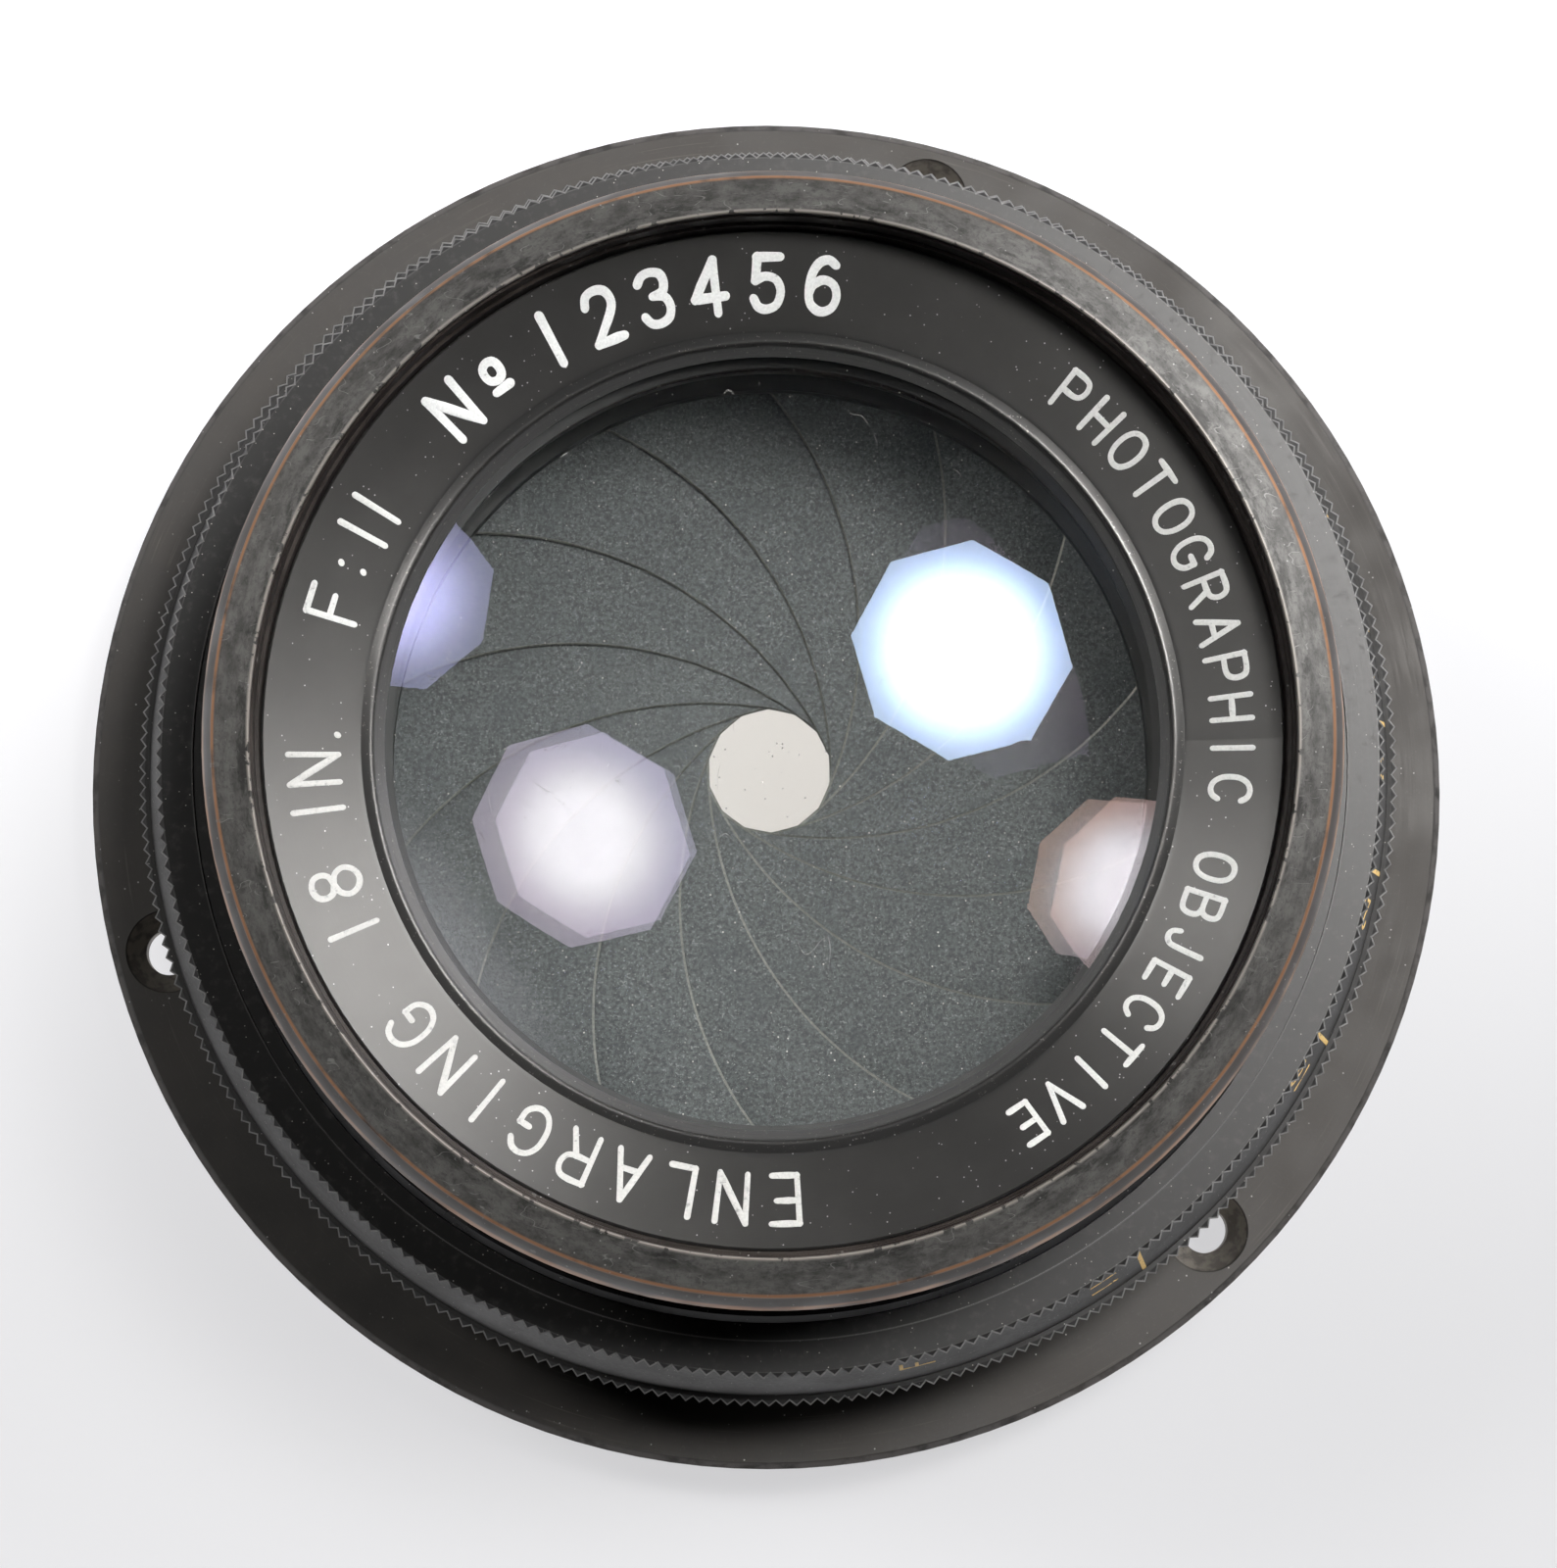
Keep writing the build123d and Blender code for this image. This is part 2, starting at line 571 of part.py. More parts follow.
# ---------------------------------------------------------------- front cell
INNER_BORE_RADIUS = INNER_GLASS_RADIUS + CELL_BORE_CLEARANCE
OUTER_BORE_RADIUS = OUTER_GLASS_RADIUS + CELL_BORE_CLEARANCE
CELL_SPIGOT_REAR = 25.2
CELL_WAIST_RADIUS = 26.0
NAME_RING_SEAT_DROP = 0.25
NAME_RING_SEAT = OUTER_GLASS_TOP - NAME_RING_SEAT_DROP
RIM_STEP_RADIUS = 30.45
RIM_STEP_HEIGHT = 50.5
RIM_STEP_FLOOR = 48.6
BEAD_LENGTH = 1.7
BEAD_SHOULDER = 0.5
SHOULDER_INSET = 0.24
SHOULDER_RISE = 1.9
SHOULDER_END = (-0.45, 1)
RIM_BREAK = 0.12
STEP_BREAK = 0.1

with BuildPart() as front_cell:
    with BuildSketch(Plane.XZ):
        with BuildLine():
            Polyline(
                (CELL_REAR_CLEAR_RADIUS, INNER_GLASS_BOTTOM),
                (CELL_REAR_CLEAR_RADIUS, CELL_BASE),
                (CELL_WAIST_RADIUS, CELL_BASE),
                (PIVOT_RADIUS + 2 * PIN_RADIUS, CELL_SPIGOT_REAR),
                (FRONT_THREAD_RADIUS - SCREW_FIT, CELL_SPIGOT_REAR),
                (FRONT_THREAD_RADIUS - SCREW_FIT, BARREL_FRONT),
                (FRONT_CELL_RADIUS, BARREL_FRONT),
                (FRONT_CELL_RADIUS, BEAD_HEIGHT - BEAD_LENGTH - BEAD_SHOULDER),
                (BEAD_RADIUS, BEAD_HEIGHT - BEAD_LENGTH),
                (BEAD_RADIUS, BEAD_HEIGHT),
            )
            Spline(
                (BEAD_RADIUS, BEAD_HEIGHT),
                (BEAD_RADIUS - SHOULDER_INSET, BEAD_HEIGHT + SHOULDER_RISE),
                (RIM_EDGE_RADIUS, RIM_EDGE_HEIGHT),
                tangents=((0, 1), SHOULDER_END),
            )
            Polyline(
                (RIM_EDGE_RADIUS, RIM_EDGE_HEIGHT),
                (RIM_EDGE_RADIUS - RIM_BREAK, RIM_EDGE_HEIGHT + RIM_BREAK),
                (RIM_INNER_RADIUS, RIM_TOP),
                (RIM_INNER_RADIUS - RIM_BREAK, RIM_TOP - RIM_BREAK),
                (RIM_INNER_RADIUS - RIM_BREAK, RIM_STEP_HEIGHT),
                (RIM_STEP_RADIUS, RIM_STEP_HEIGHT - STEP_BREAK),
                (RIM_STEP_RADIUS, RIM_STEP_FLOOR),
                (NAME_RING_RADIUS + CELL_BORE_CLEARANCE, RIM_STEP_FLOOR - STEP_BREAK),
                (NAME_RING_RADIUS + CELL_BORE_CLEARANCE, NAME_RING_SEAT),
                (OUTER_BORE_RADIUS, NAME_RING_SEAT),
                (OUTER_BORE_RADIUS, INNER_GLASS_TOP),
                (INNER_BORE_RADIUS, INNER_GLASS_TOP),
                (INNER_BORE_RADIUS, INNER_GLASS_BOTTOM),
                (CELL_REAR_CLEAR_RADIUS, INNER_GLASS_BOTTOM),
            )
        make_face()
    revolve(axis=Axis.Z)
save(front_cell, "front_cell")


# ---------------------------------------------------------------- name ring: retains the front glass
LIP_HALF_WIDTH = 0.25
LIP_WIDTH = 0.55
LIP_RISE = 0.22
BEVEL_TOP = 44.35
BEVEL_EDGE = 0.12
NAME_RING_BREAK = 0.15
GLASS_GAP = 0.04
SEAT_LAND = 0.3
glass_edge_height = OUTER_GLASS_TOP + sagitta(OUTER_GLASS_FRONT_CURVE, OUTER_GLASS_RADIUS) - sagitta(
    OUTER_GLASS_FRONT_CURVE, GLASS_CLEAR_RADIUS
)

with BuildPart() as name_ring:
    with BuildSketch(Plane.XZ):
        with BuildLine():
            Polyline(
                (NAME_RING_RADIUS, NAME_RING_SEAT + SEAT_LAND),
                (NAME_RING_RADIUS, NAME_RING_EDGE_HEIGHT - NAME_RING_BREAK),
                (NAME_RING_RADIUS - NAME_RING_BREAK, NAME_RING_EDGE_HEIGHT),
                (NAME_RING_LIP_RADIUS + LIP_HALF_WIDTH, NAME_RING_LIP_HEIGHT),
            )
            Spline(
                (NAME_RING_LIP_RADIUS + LIP_HALF_WIDTH, NAME_RING_LIP_HEIGHT),
                (NAME_RING_LIP_RADIUS, NAME_RING_LIP_HEIGHT + LIP_RISE / 2),
                (NAME_RING_LIP_RADIUS - LIP_HALF_WIDTH, NAME_RING_LIP_HEIGHT + LIP_RISE),
                (NAME_RING_LIP_RADIUS - LIP_WIDTH, BEVEL_TOP),
            )
            Polyline(
                (NAME_RING_LIP_RADIUS - LIP_WIDTH, BEVEL_TOP),
                (GLASS_CLEAR_RADIUS, glass_edge_height + BEVEL_EDGE),
                (GLASS_CLEAR_RADIUS, glass_edge_height + GLASS_GAP),
                (OUTER_GLASS_RADIUS, OUTER_GLASS_TOP + GLASS_GAP),
                (OUTER_BORE_RADIUS + SEAT_LAND, OUTER_GLASS_TOP + GLASS_GAP),
                (OUTER_BORE_RADIUS + SEAT_LAND, NAME_RING_SEAT + SEAT_LAND),
                (NAME_RING_RADIUS, NAME_RING_SEAT + SEAT_LAND),
            )
        make_face()
    revolve(axis=Axis.Z)
save(name_ring, "name_ring")


# ---------------------------------------------------------------- rear cell and its retaining ring
REAR_CELL_FLANGE_EDGE = 0.5
REAR_CELL_TAPER = 3.0
REAR_RETAINER_RADIUS = 27.6
REAR_MOUTH_BEVEL = 1.0
REAR_RETAINER_FACE = REAR_CELL_RIM + 1.1
rear_seat = 2 * OPTICAL_CENTRE - NAME_RING_SEAT
rear_base = 2 * OPTICAL_CENTRE - CELL_BASE
rear_inner_top = 2 * OPTICAL_CENTRE - INNER_GLASS_BOTTOM
rear_inner_bottom = 2 * OPTICAL_CENTRE - INNER_GLASS_TOP

with BuildPart() as rear_cell:
    with BuildSketch(Plane.XZ):
        with BuildLine():
            Polyline(
                (CELL_REAR_CLEAR_RADIUS, rear_inner_top),
                (CELL_REAR_CLEAR_RADIUS, rear_base),
                (CELL_WAIST_RADIUS, rear_base),
                (REAR_THREAD_RADIUS - SCREW_FIT, rear_base - REAR_CELL_TAPER),
                (REAR_THREAD_RADIUS - SCREW_FIT, BARREL_REAR),
                (REAR_CELL_RADIUS, BARREL_REAR),
                (REAR_CELL_RADIUS, REAR_CELL_RIM + REAR_CELL_FLANGE_EDGE),
                (REAR_CELL_RADIUS - REAR_CELL_FLANGE_EDGE, REAR_CELL_RIM),
                (REAR_RETAINER_RADIUS + REAR_MOUTH_BEVEL, REAR_CELL_RIM),
                (REAR_RETAINER_RADIUS, REAR_CELL_RIM + REAR_MOUTH_BEVEL),
                (REAR_RETAINER_RADIUS, rear_seat),
                (OUTER_BORE_RADIUS, rear_seat),
                (OUTER_BORE_RADIUS, rear_inner_bottom),
                (INNER_BORE_RADIUS, rear_inner_bottom),
                (INNER_BORE_RADIUS, rear_inner_top),
                close=True,
            )
        make_face()
    revolve(axis=Axis.Z)
save(rear_cell, "rear_cell")

with BuildPart() as rear_retaining_ring:
    rear_glass_edge = 2 * OPTICAL_CENTRE - glass_edge_height
    rear_glass_seat = 2 * OPTICAL_CENTRE - OUTER_GLASS_TOP - GLASS_GAP
    with BuildSketch(Plane.XZ):
        with BuildLine():
            Polyline(
                (REAR_RETAINER_RADIUS - SCREW_FIT, rear_seat - SEAT_LAND),
                (REAR_RETAINER_RADIUS - SCREW_FIT, REAR_RETAINER_FACE),
                (NAME_RING_LIP_RADIUS, REAR_RETAINER_FACE),
                (GLASS_CLEAR_RADIUS, rear_glass_edge - SEAT_LAND),
                (GLASS_CLEAR_RADIUS, rear_glass_edge - GLASS_GAP),
                (OUTER_GLASS_RADIUS, rear_glass_seat),
                (OUTER_BORE_RADIUS + SEAT_LAND, rear_glass_seat),
                (OUTER_BORE_RADIUS + SEAT_LAND, rear_seat - SEAT_LAND),
                close=True,
            )
        make_face()
    revolve(axis=Axis.Z)
    with BuildSketch(Plane.XY.offset(REAR_CELL_RIM)):
        Rectangle(2 * REAR_RETAINER_RADIUS, SPANNER_SLOT_WIDTH)
    extrude(amount=REAR_RETAINER_FACE - REAR_CELL_RIM + SPANNER_SLOT_DEPTH, mode=Mode.SUBTRACT)
save(rear_retaining_ring, "rear_retaining_ring")
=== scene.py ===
"""Enlarger lens: looks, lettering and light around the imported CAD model.

Blender objects are in metres. Materials, lettering and blades are worked out in millimetres, in the lens's
own frame, with the lens axis as z and the front of the lens towards +z.
"""

import json
from math import asin, cos, degrees, pi, radians, sin, tan

import bmesh
import bpy
from mathutils import Matrix, Vector


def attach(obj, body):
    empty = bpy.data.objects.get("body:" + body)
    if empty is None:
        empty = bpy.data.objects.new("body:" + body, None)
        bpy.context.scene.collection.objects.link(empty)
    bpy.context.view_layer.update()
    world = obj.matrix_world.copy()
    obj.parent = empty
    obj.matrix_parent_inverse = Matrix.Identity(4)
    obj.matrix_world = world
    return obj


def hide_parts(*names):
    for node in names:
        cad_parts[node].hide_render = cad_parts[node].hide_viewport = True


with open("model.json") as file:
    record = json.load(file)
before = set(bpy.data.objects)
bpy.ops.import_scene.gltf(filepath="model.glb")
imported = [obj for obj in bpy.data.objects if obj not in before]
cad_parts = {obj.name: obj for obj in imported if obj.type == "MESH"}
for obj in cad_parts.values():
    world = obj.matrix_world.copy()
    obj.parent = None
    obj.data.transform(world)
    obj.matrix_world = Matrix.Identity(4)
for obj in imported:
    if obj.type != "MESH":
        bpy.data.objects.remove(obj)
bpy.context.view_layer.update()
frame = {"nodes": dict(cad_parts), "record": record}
MM = 0.001

# Radii and heights of the CAD model that the looks refer to, in millimetres; a pair is (radius, height)
FLANGE_RADIUS = 44.45
FLANGE_FACE = 3.2
COLLAR_RADIUS = 37.2
COLLAR_MIDDLE = 9.5
REAR_KNURL_TEETH = 286
REAR_KNURL_TIP = 40.0
FRONT_KNURL_TEETH = 272
FRONT_KNURL_TIP = 38.06
KNURL_DEPTH = 0.36
BAND_REAR = (39.3, 18.4)
BAND_FRONT = (37.55, 25.2)
RING_FACE = 29.3
RING_STEP_RADIUS = 35.7
BEAD_RADIUS = 33.7
BEAD_TOP = 46.6
RIM_EDGE = (32.9, 50.1)
RIM_INNER = (30.7, 51.2)
NAME_RING_LOW = (24.45, 44.6)
NAME_RING_HIGH = (30.05, 47.1)


# ------------------------------------------------------------------ procedural materials
class Surface:
    """One procedural material, in millimetres of the object's own frame, with the lens axis as z."""

    def __init__(self, name):
        self.material = bpy.data.materials.new(name)
        self.material.use_nodes = True
        self.tree = self.material.node_tree
        self.tree.nodes.clear()
        self.output = self.add("ShaderNodeOutputMaterial")
        coordinates = self.add("ShaderNodeTexCoord")
        self.place = self.vector("SCALE", coordinates.outputs["Object"], scale=1000.0)
        split = self.add("ShaderNodeSeparateXYZ")
        self.link(self.place, split.inputs[0])
        self.x, self.y, self.z = split.outputs
        self.radius = self.math("SQRT", self.plus(self.times(self.x, self.x), self.times(self.y, self.y)))

    def add(self, kind, **settings):
        node = self.tree.nodes.new(kind)
        for key, value in settings.items():
            setattr(node, key, value)
        return node

    def link(self, source, target):
        self.tree.links.new(source, target)

    def feed(self, value, target):
        """Link a socket, or set a plain value."""
        if isinstance(value, bpy.types.NodeSocket):
            self.link(value, target)
        elif isinstance(value, (tuple, list)) and len(value) == 3 and len(target.default_value) == 4:
            target.default_value = (*value, 1.0)
        else:
            target.default_value = value

    def math(self, operation, a, b=None, c=None, clamp=False):
        node = self.add("ShaderNodeMath", operation=operation, use_clamp=clamp)
        for value, socket in zip((a, b, c), node.inputs):
            if value is not None:
                self.feed(value, socket)
        return node.outputs[0]

    def times(self, a, b):
        return self.math("MULTIPLY", a, b)

    def plus(self, a, b):
        return self.math("ADD", a, b)

    def either(self, a, b):
        return self.math("MAXIMUM", a, b)

    def both(self, a, b):
        return self.math("MULTIPLY", a, b, clamp=True)

    def vector(self, operation, a, b=None, scale=None):
        node = self.add("ShaderNodeVectorMath", operation=operation)
        self.feed(a, node.inputs[0])
        if b is not None:
            self.feed(b, node.inputs[1])
        if scale is not None:
            node.inputs["Scale"].default_value = scale
        return node.outputs[0]

    def combine(self, x, y, z):
        node = self.add("ShaderNodeCombineXYZ")
        for value, socket in zip((x, y, z), node.inputs):
            self.feed(value, socket)
        return node.outputs[0]

    def turned(self, across, around):
        """A vector that changes fast across the lathe's cut and slowly round the axis."""
        fast = self.times(self.plus(self.radius, self.z), across)
        scale = self.math("DIVIDE", around, self.radius)
        return self.combine(fast, self.times(self.x, scale), self.times(self.y, scale))

    def noise(self, vector, scale, detail=3.0, roughness=0.55):
        node = self.add("ShaderNodeTexNoise")
        self.link(vector, node.inputs["Vector"])
        node.inputs["Scale"].default_value = scale
        node.inputs["Detail"].default_value = detail
        node.inputs["Roughness"].default_value = roughness
        return node.outputs[0]

    def cells(self, vector, scale):
        """Distance to the nearest of many scattered points."""
        node = self.add("ShaderNodeTexVoronoi", feature="F1")
        self.link(vector, node.inputs["Vector"])
        node.inputs["Scale"].default_value = scale
        return node.outputs["Distance"]

    def span(self, value, low, high, to_low=0.0, to_high=1.0):
        """value from low to high becomes to_low to to_high, clamped, eased."""
        node = self.add("ShaderNodeMapRange", interpolation_type="SMOOTHSTEP")
        self.feed(value, node.inputs["Value"])
        node.inputs["From Min"].default_value = low
        node.inputs["From Max"].default_value = high
        node.inputs["To Min"].default_value = to_low
        node.inputs["To Max"].default_value = to_high
        return node.outputs["Result"]

    def band(self, value, centre, half):
        """1 where value is at centre, falling to 0 at half to each side."""
        return self.span(self.math("ABSOLUTE", self.math("SUBTRACT", value, centre)), 0.0, half, 1.0, 0.0)

    def past_teeth(self, teeth, tip_radius, depth):
        """How far out a point lies from the outline of a straight knurl with its first root on x."""
        turn = self.times(self.math("ARCTAN2", self.y, self.x), teeth / (2 * pi))
        share = self.math("ABSOLUTE", self.math("MULTIPLY_ADD", self.math("FRACT", turn), 2.0, -1.0))
        return self.math("SUBTRACT", self.radius, self.math("MULTIPLY_ADD", share, -depth, tip_radius))

    def mix(self, factor, a, b):
        node = self.add("ShaderNodeMix", data_type="RGBA")
        self.feed(factor, node.inputs["Factor"])
        self.feed(a, node.inputs["A"])
        self.feed(b, node.inputs["B"])
        return node.outputs["Result"]

    def bump(self, height, distance_mm, strength=1.0):
        node = self.add("ShaderNodeBump")
        node.inputs["Strength"].default_value = strength
        node.inputs["Distance"].default_value = distance_mm * MM
        self.link(height, node.inputs["Height"])
        return node.outputs[0]

    def metal(self, colour, roughness, normal=None, metallic=0.0, **settings):
        """The finished shader: a Principled node with these links and plain values."""
        node = self.add("ShaderNodeBsdfPrincipled")
        self.feed(colour, node.inputs["Base Color"])
        self.feed(roughness, node.inputs["Roughness"])
        self.feed(metallic, node.inputs["Metallic"])
        if normal is not None:
            self.link(normal, node.inputs["Normal"])
        for key, value in settings.items():
            self.feed(value, node.inputs[key.replace("_", " ")])
        if "Anisotropic" in settings:
            node.inputs["Anisotropic Rotation"].default_value = 0.25
            tangent = self.add("ShaderNodeTangent", direction_type="RADIAL", axis="Z")
            self.link(tangent.outputs[0], node.inputs["Tangent"])
        self.link(node.outputs[0], self.output.inputs["Surface"])
        return node


def specks(s, amount, scale=1.6):
    """Sparse dust: small soft dots, amount from 0 to 1."""
    dots = s.span(s.cells(s.place, scale), 0.06, 0.11, 1.0, 0.0)
    chosen = s.span(s.noise(s.place, 0.7, 2.0), 0.62 - 0.2 * amount, 0.66 - 0.2 * amount)
    return s.both(dots, chosen)


def flange_black():
    s = Surface("flange_black")
    turning = s.noise(s.turned(9.0, 14.0), 1.0, 4.0)
    cloud = s.noise(s.place, 0.16, 4.0)
    grain = s.noise(s.place, 4.2, 3.0)
    colour = s.mix(s.span(cloud, 0.36, 0.66), (0.009, 0.0085, 0.0082), (0.020, 0.0175, 0.0155))
    colour = s.mix(s.span(grain, 0.58, 0.8, 0.0, 0.35), colour, (0.045, 0.042, 0.040))
    scuff = s.both(s.span(s.noise(s.turned(6.0, 5.0), 1.0, 5.0), 0.60, 0.74), s.span(cloud, 0.4, 0.7))
    colour = s.mix(s.times(scuff, 0.45), colour, (0.12, 0.105, 0.095))
    # outer edge, worn in patches
    outside = s.span(s.radius, FLANGE_RADIUS - 0.53, FLANGE_RADIUS - 0.27)
    edge = s.both(outside, s.span(s.noise(s.place, 0.9, 4.0), 0.3, 0.55))
    colour = s.mix(s.times(edge, 0.5), colour, (0.13, 0.12, 0.115))
    # screw holes: walls lighter, partly metal worn bare by the screws, partly a painted highlight
    inside_plate = s.both(s.span(s.z, FLANGE_FACE - 0.04, FLANGE_FACE - 0.14), s.span(s.z, 0.04, 0.10))
    hole_zone = s.both(s.span(s.radius, 43.5, 43.3), s.span(s.radius, 37.0, 37.2))
    worn = s.span(s.noise(s.place, 1.1, 3.0), 0.38, 0.60, 0.35, 1.0)
    rubbed_and_lit = s.both(s.both(inside_plate, hole_zone), worn)
    colour = s.mix(rubbed_and_lit, colour, (0.21, 0.19, 0.165))
    colour = s.mix(specks(s, 0.4), colour, (0.3, 0.29, 0.28))
    rough = s.span(s.plus(cloud, s.times(turning, 0.5)), 0.45, 1.05, 0.38, 0.54)
    height = s.plus(s.times(turning, 0.7), s.times(grain, 0.5))
    s.metal(
        colour, rough, s.bump(height, 0.012, 0.6), s.times(rubbed_and_lit, 0.7),
        Specular_IOR_Level=0.45, Specular_Tint=(1.0, 0.95, 0.90),
    )
    return s.material


def barrel_black():
    s = Surface("barrel_black")
    turning = s.noise(s.turned(7.0, 8.0), 1.0, 3.0)
    cloud = s.noise(s.place, 0.3, 4.0)
    colour = s.mix(s.span(cloud, 0.4, 0.7), (0.008, 0.008, 0.009), (0.018, 0.017, 0.017))
    colour = s.mix(specks(s, 0.75, 2.1), colour, (0.32, 0.31, 0.30))
    streak = s.span(s.noise(s.turned(3.5, 16.0), 1.0, 5.0), 0.63, 0.72)
    colour = s.mix(s.times(streak, 0.3), colour, (0.07, 0.066, 0.06))
    rough = s.span(cloud, 0.35, 0.7, 0.16, 0.30)
    s.metal(colour, rough, s.bump(turning, 0.008, 0.5))
    return s.material


def ring_grey():
    s = Surface("ring_grey")
    turning = s.noise(s.turned(8.0, 9.0), 1.0, 4.0)
    cloud = s.noise(s.place, 0.22, 4.0)
    grain = s.noise(s.place, 3.4, 3.0)
    colour = s.mix(s.span(cloud, 0.35, 0.7), (0.012, 0.0117, 0.0117), (0.025, 0.024, 0.023))
    # flat front face: darker, with dust in patches
    inside_tips = s.span(s.radius, FRONT_KNURL_TIP - 0.06, FRONT_KNURL_TIP - 0.14)
    face = s.both(s.span(s.z, RING_FACE - 0.42, RING_FACE - 0.32), inside_tips)
    dusty = s.span(s.noise(s.place, 1.3, 5.0, 0.7), 0.50, 0.74)
    colour = s.mix(face, colour, s.mix(dusty, (0.0045, 0.0043, 0.0043), (0.020, 0.019, 0.018)))
    # knurls worn bright on the crests of their teeth
    front_top = s.span(s.radius, FRONT_KNURL_TIP - 0.20, FRONT_KNURL_TIP - 0.03)
    front_crest = s.both(front_top, s.span(s.z, BAND_FRONT[1] - 0.1, BAND_FRONT[1] + 0.1))
    rear_top = s.span(s.radius, REAR_KNURL_TIP - 0.20, REAR_KNURL_TIP - 0.03)
    rear_crest = s.both(rear_top, s.span(s.z, BAND_REAR[1] + 0.05, BAND_REAR[1] - 0.1))
    wear = s.span(s.noise(s.place, 0.55, 4.0), 0.38, 0.62, 0.25, 1.0)
    crest = s.both(s.either(front_crest, rear_crest), wear)
    colour = s.mix(s.times(crest, 0.45), colour, (0.20, 0.195, 0.19))
    # the teeth's front edges, lighter: partly worn bright, partly a painted highlight along them
    front_teeth = s.span(s.past_teeth(FRONT_KNURL_TEETH, FRONT_KNURL_TIP, KNURL_DEPTH), -0.15, -0.09)
    front_edge = s.both(front_teeth, s.span(s.z, RING_FACE - 0.68, RING_FACE - 0.58))
    rear_teeth = s.span(s.past_teeth(REAR_KNURL_TEETH, REAR_KNURL_TIP, KNURL_DEPTH), -0.15, -0.09)
    above_middle = s.span(s.z, BAND_REAR[1] - 0.65, BAND_REAR[1] - 0.55)
    below_band = s.span(s.z, BAND_REAR[1] + 0.2, BAND_REAR[1] + 0.1)
    rear_edge = s.both(rear_teeth, s.both(above_middle, below_band))
    edge_wear = s.span(s.noise(s.place, 0.8, 4.0), 0.30, 0.55, 0.45, 1.0)
    edges = s.both(s.either(front_edge, rear_edge), edge_wear)
    colour = s.mix(s.times(edges, 0.85), colour, (0.23, 0.225, 0.22))
    # thin bright lines where the chamfer meets the front face, and at the face's inner step
    near_face = s.span(s.z, RING_FACE - 0.2, RING_FACE - 0.05)
    rim = s.both(s.band(s.radius, FRONT_KNURL_TIP - 0.42, 0.07), near_face)
    colour = s.mix(s.times(s.both(rim, wear), 0.5), colour, (0.10, 0.097, 0.095))
    near_step = s.span(s.z, RING_FACE - 0.4, RING_FACE - 0.1)
    inner_rim = s.both(s.band(s.radius, RING_STEP_RADIUS, 0.09), near_step)
    colour = s.mix(s.times(inner_rim, 0.5), colour, (0.16, 0.155, 0.15))
    colour = s.mix(specks(s, 0.85, 2.3), colour, (0.34, 0.32, 0.29))
    rough = s.span(s.plus(cloud, s.times(grain, 0.4)), 0.45, 1.0, 0.46, 0.64)
    rough = s.mix(face, rough, s.span(dusty, 0.0, 1.0, 0.31, 0.40))
    height = s.plus(s.times(turning, 0.7), s.times(grain, 0.35))
    height = s.times(height, s.span(face, 0.0, 1.0, 1.0, 0.45))
    s.metal(
        colour, rough, s.bump(height, 0.012, 0.6), s.times(crest, 0.6),
        Specular_IOR_Level=0.37, Specular_Tint=(1.0, 0.98, 0.96),
    )
    return s.material


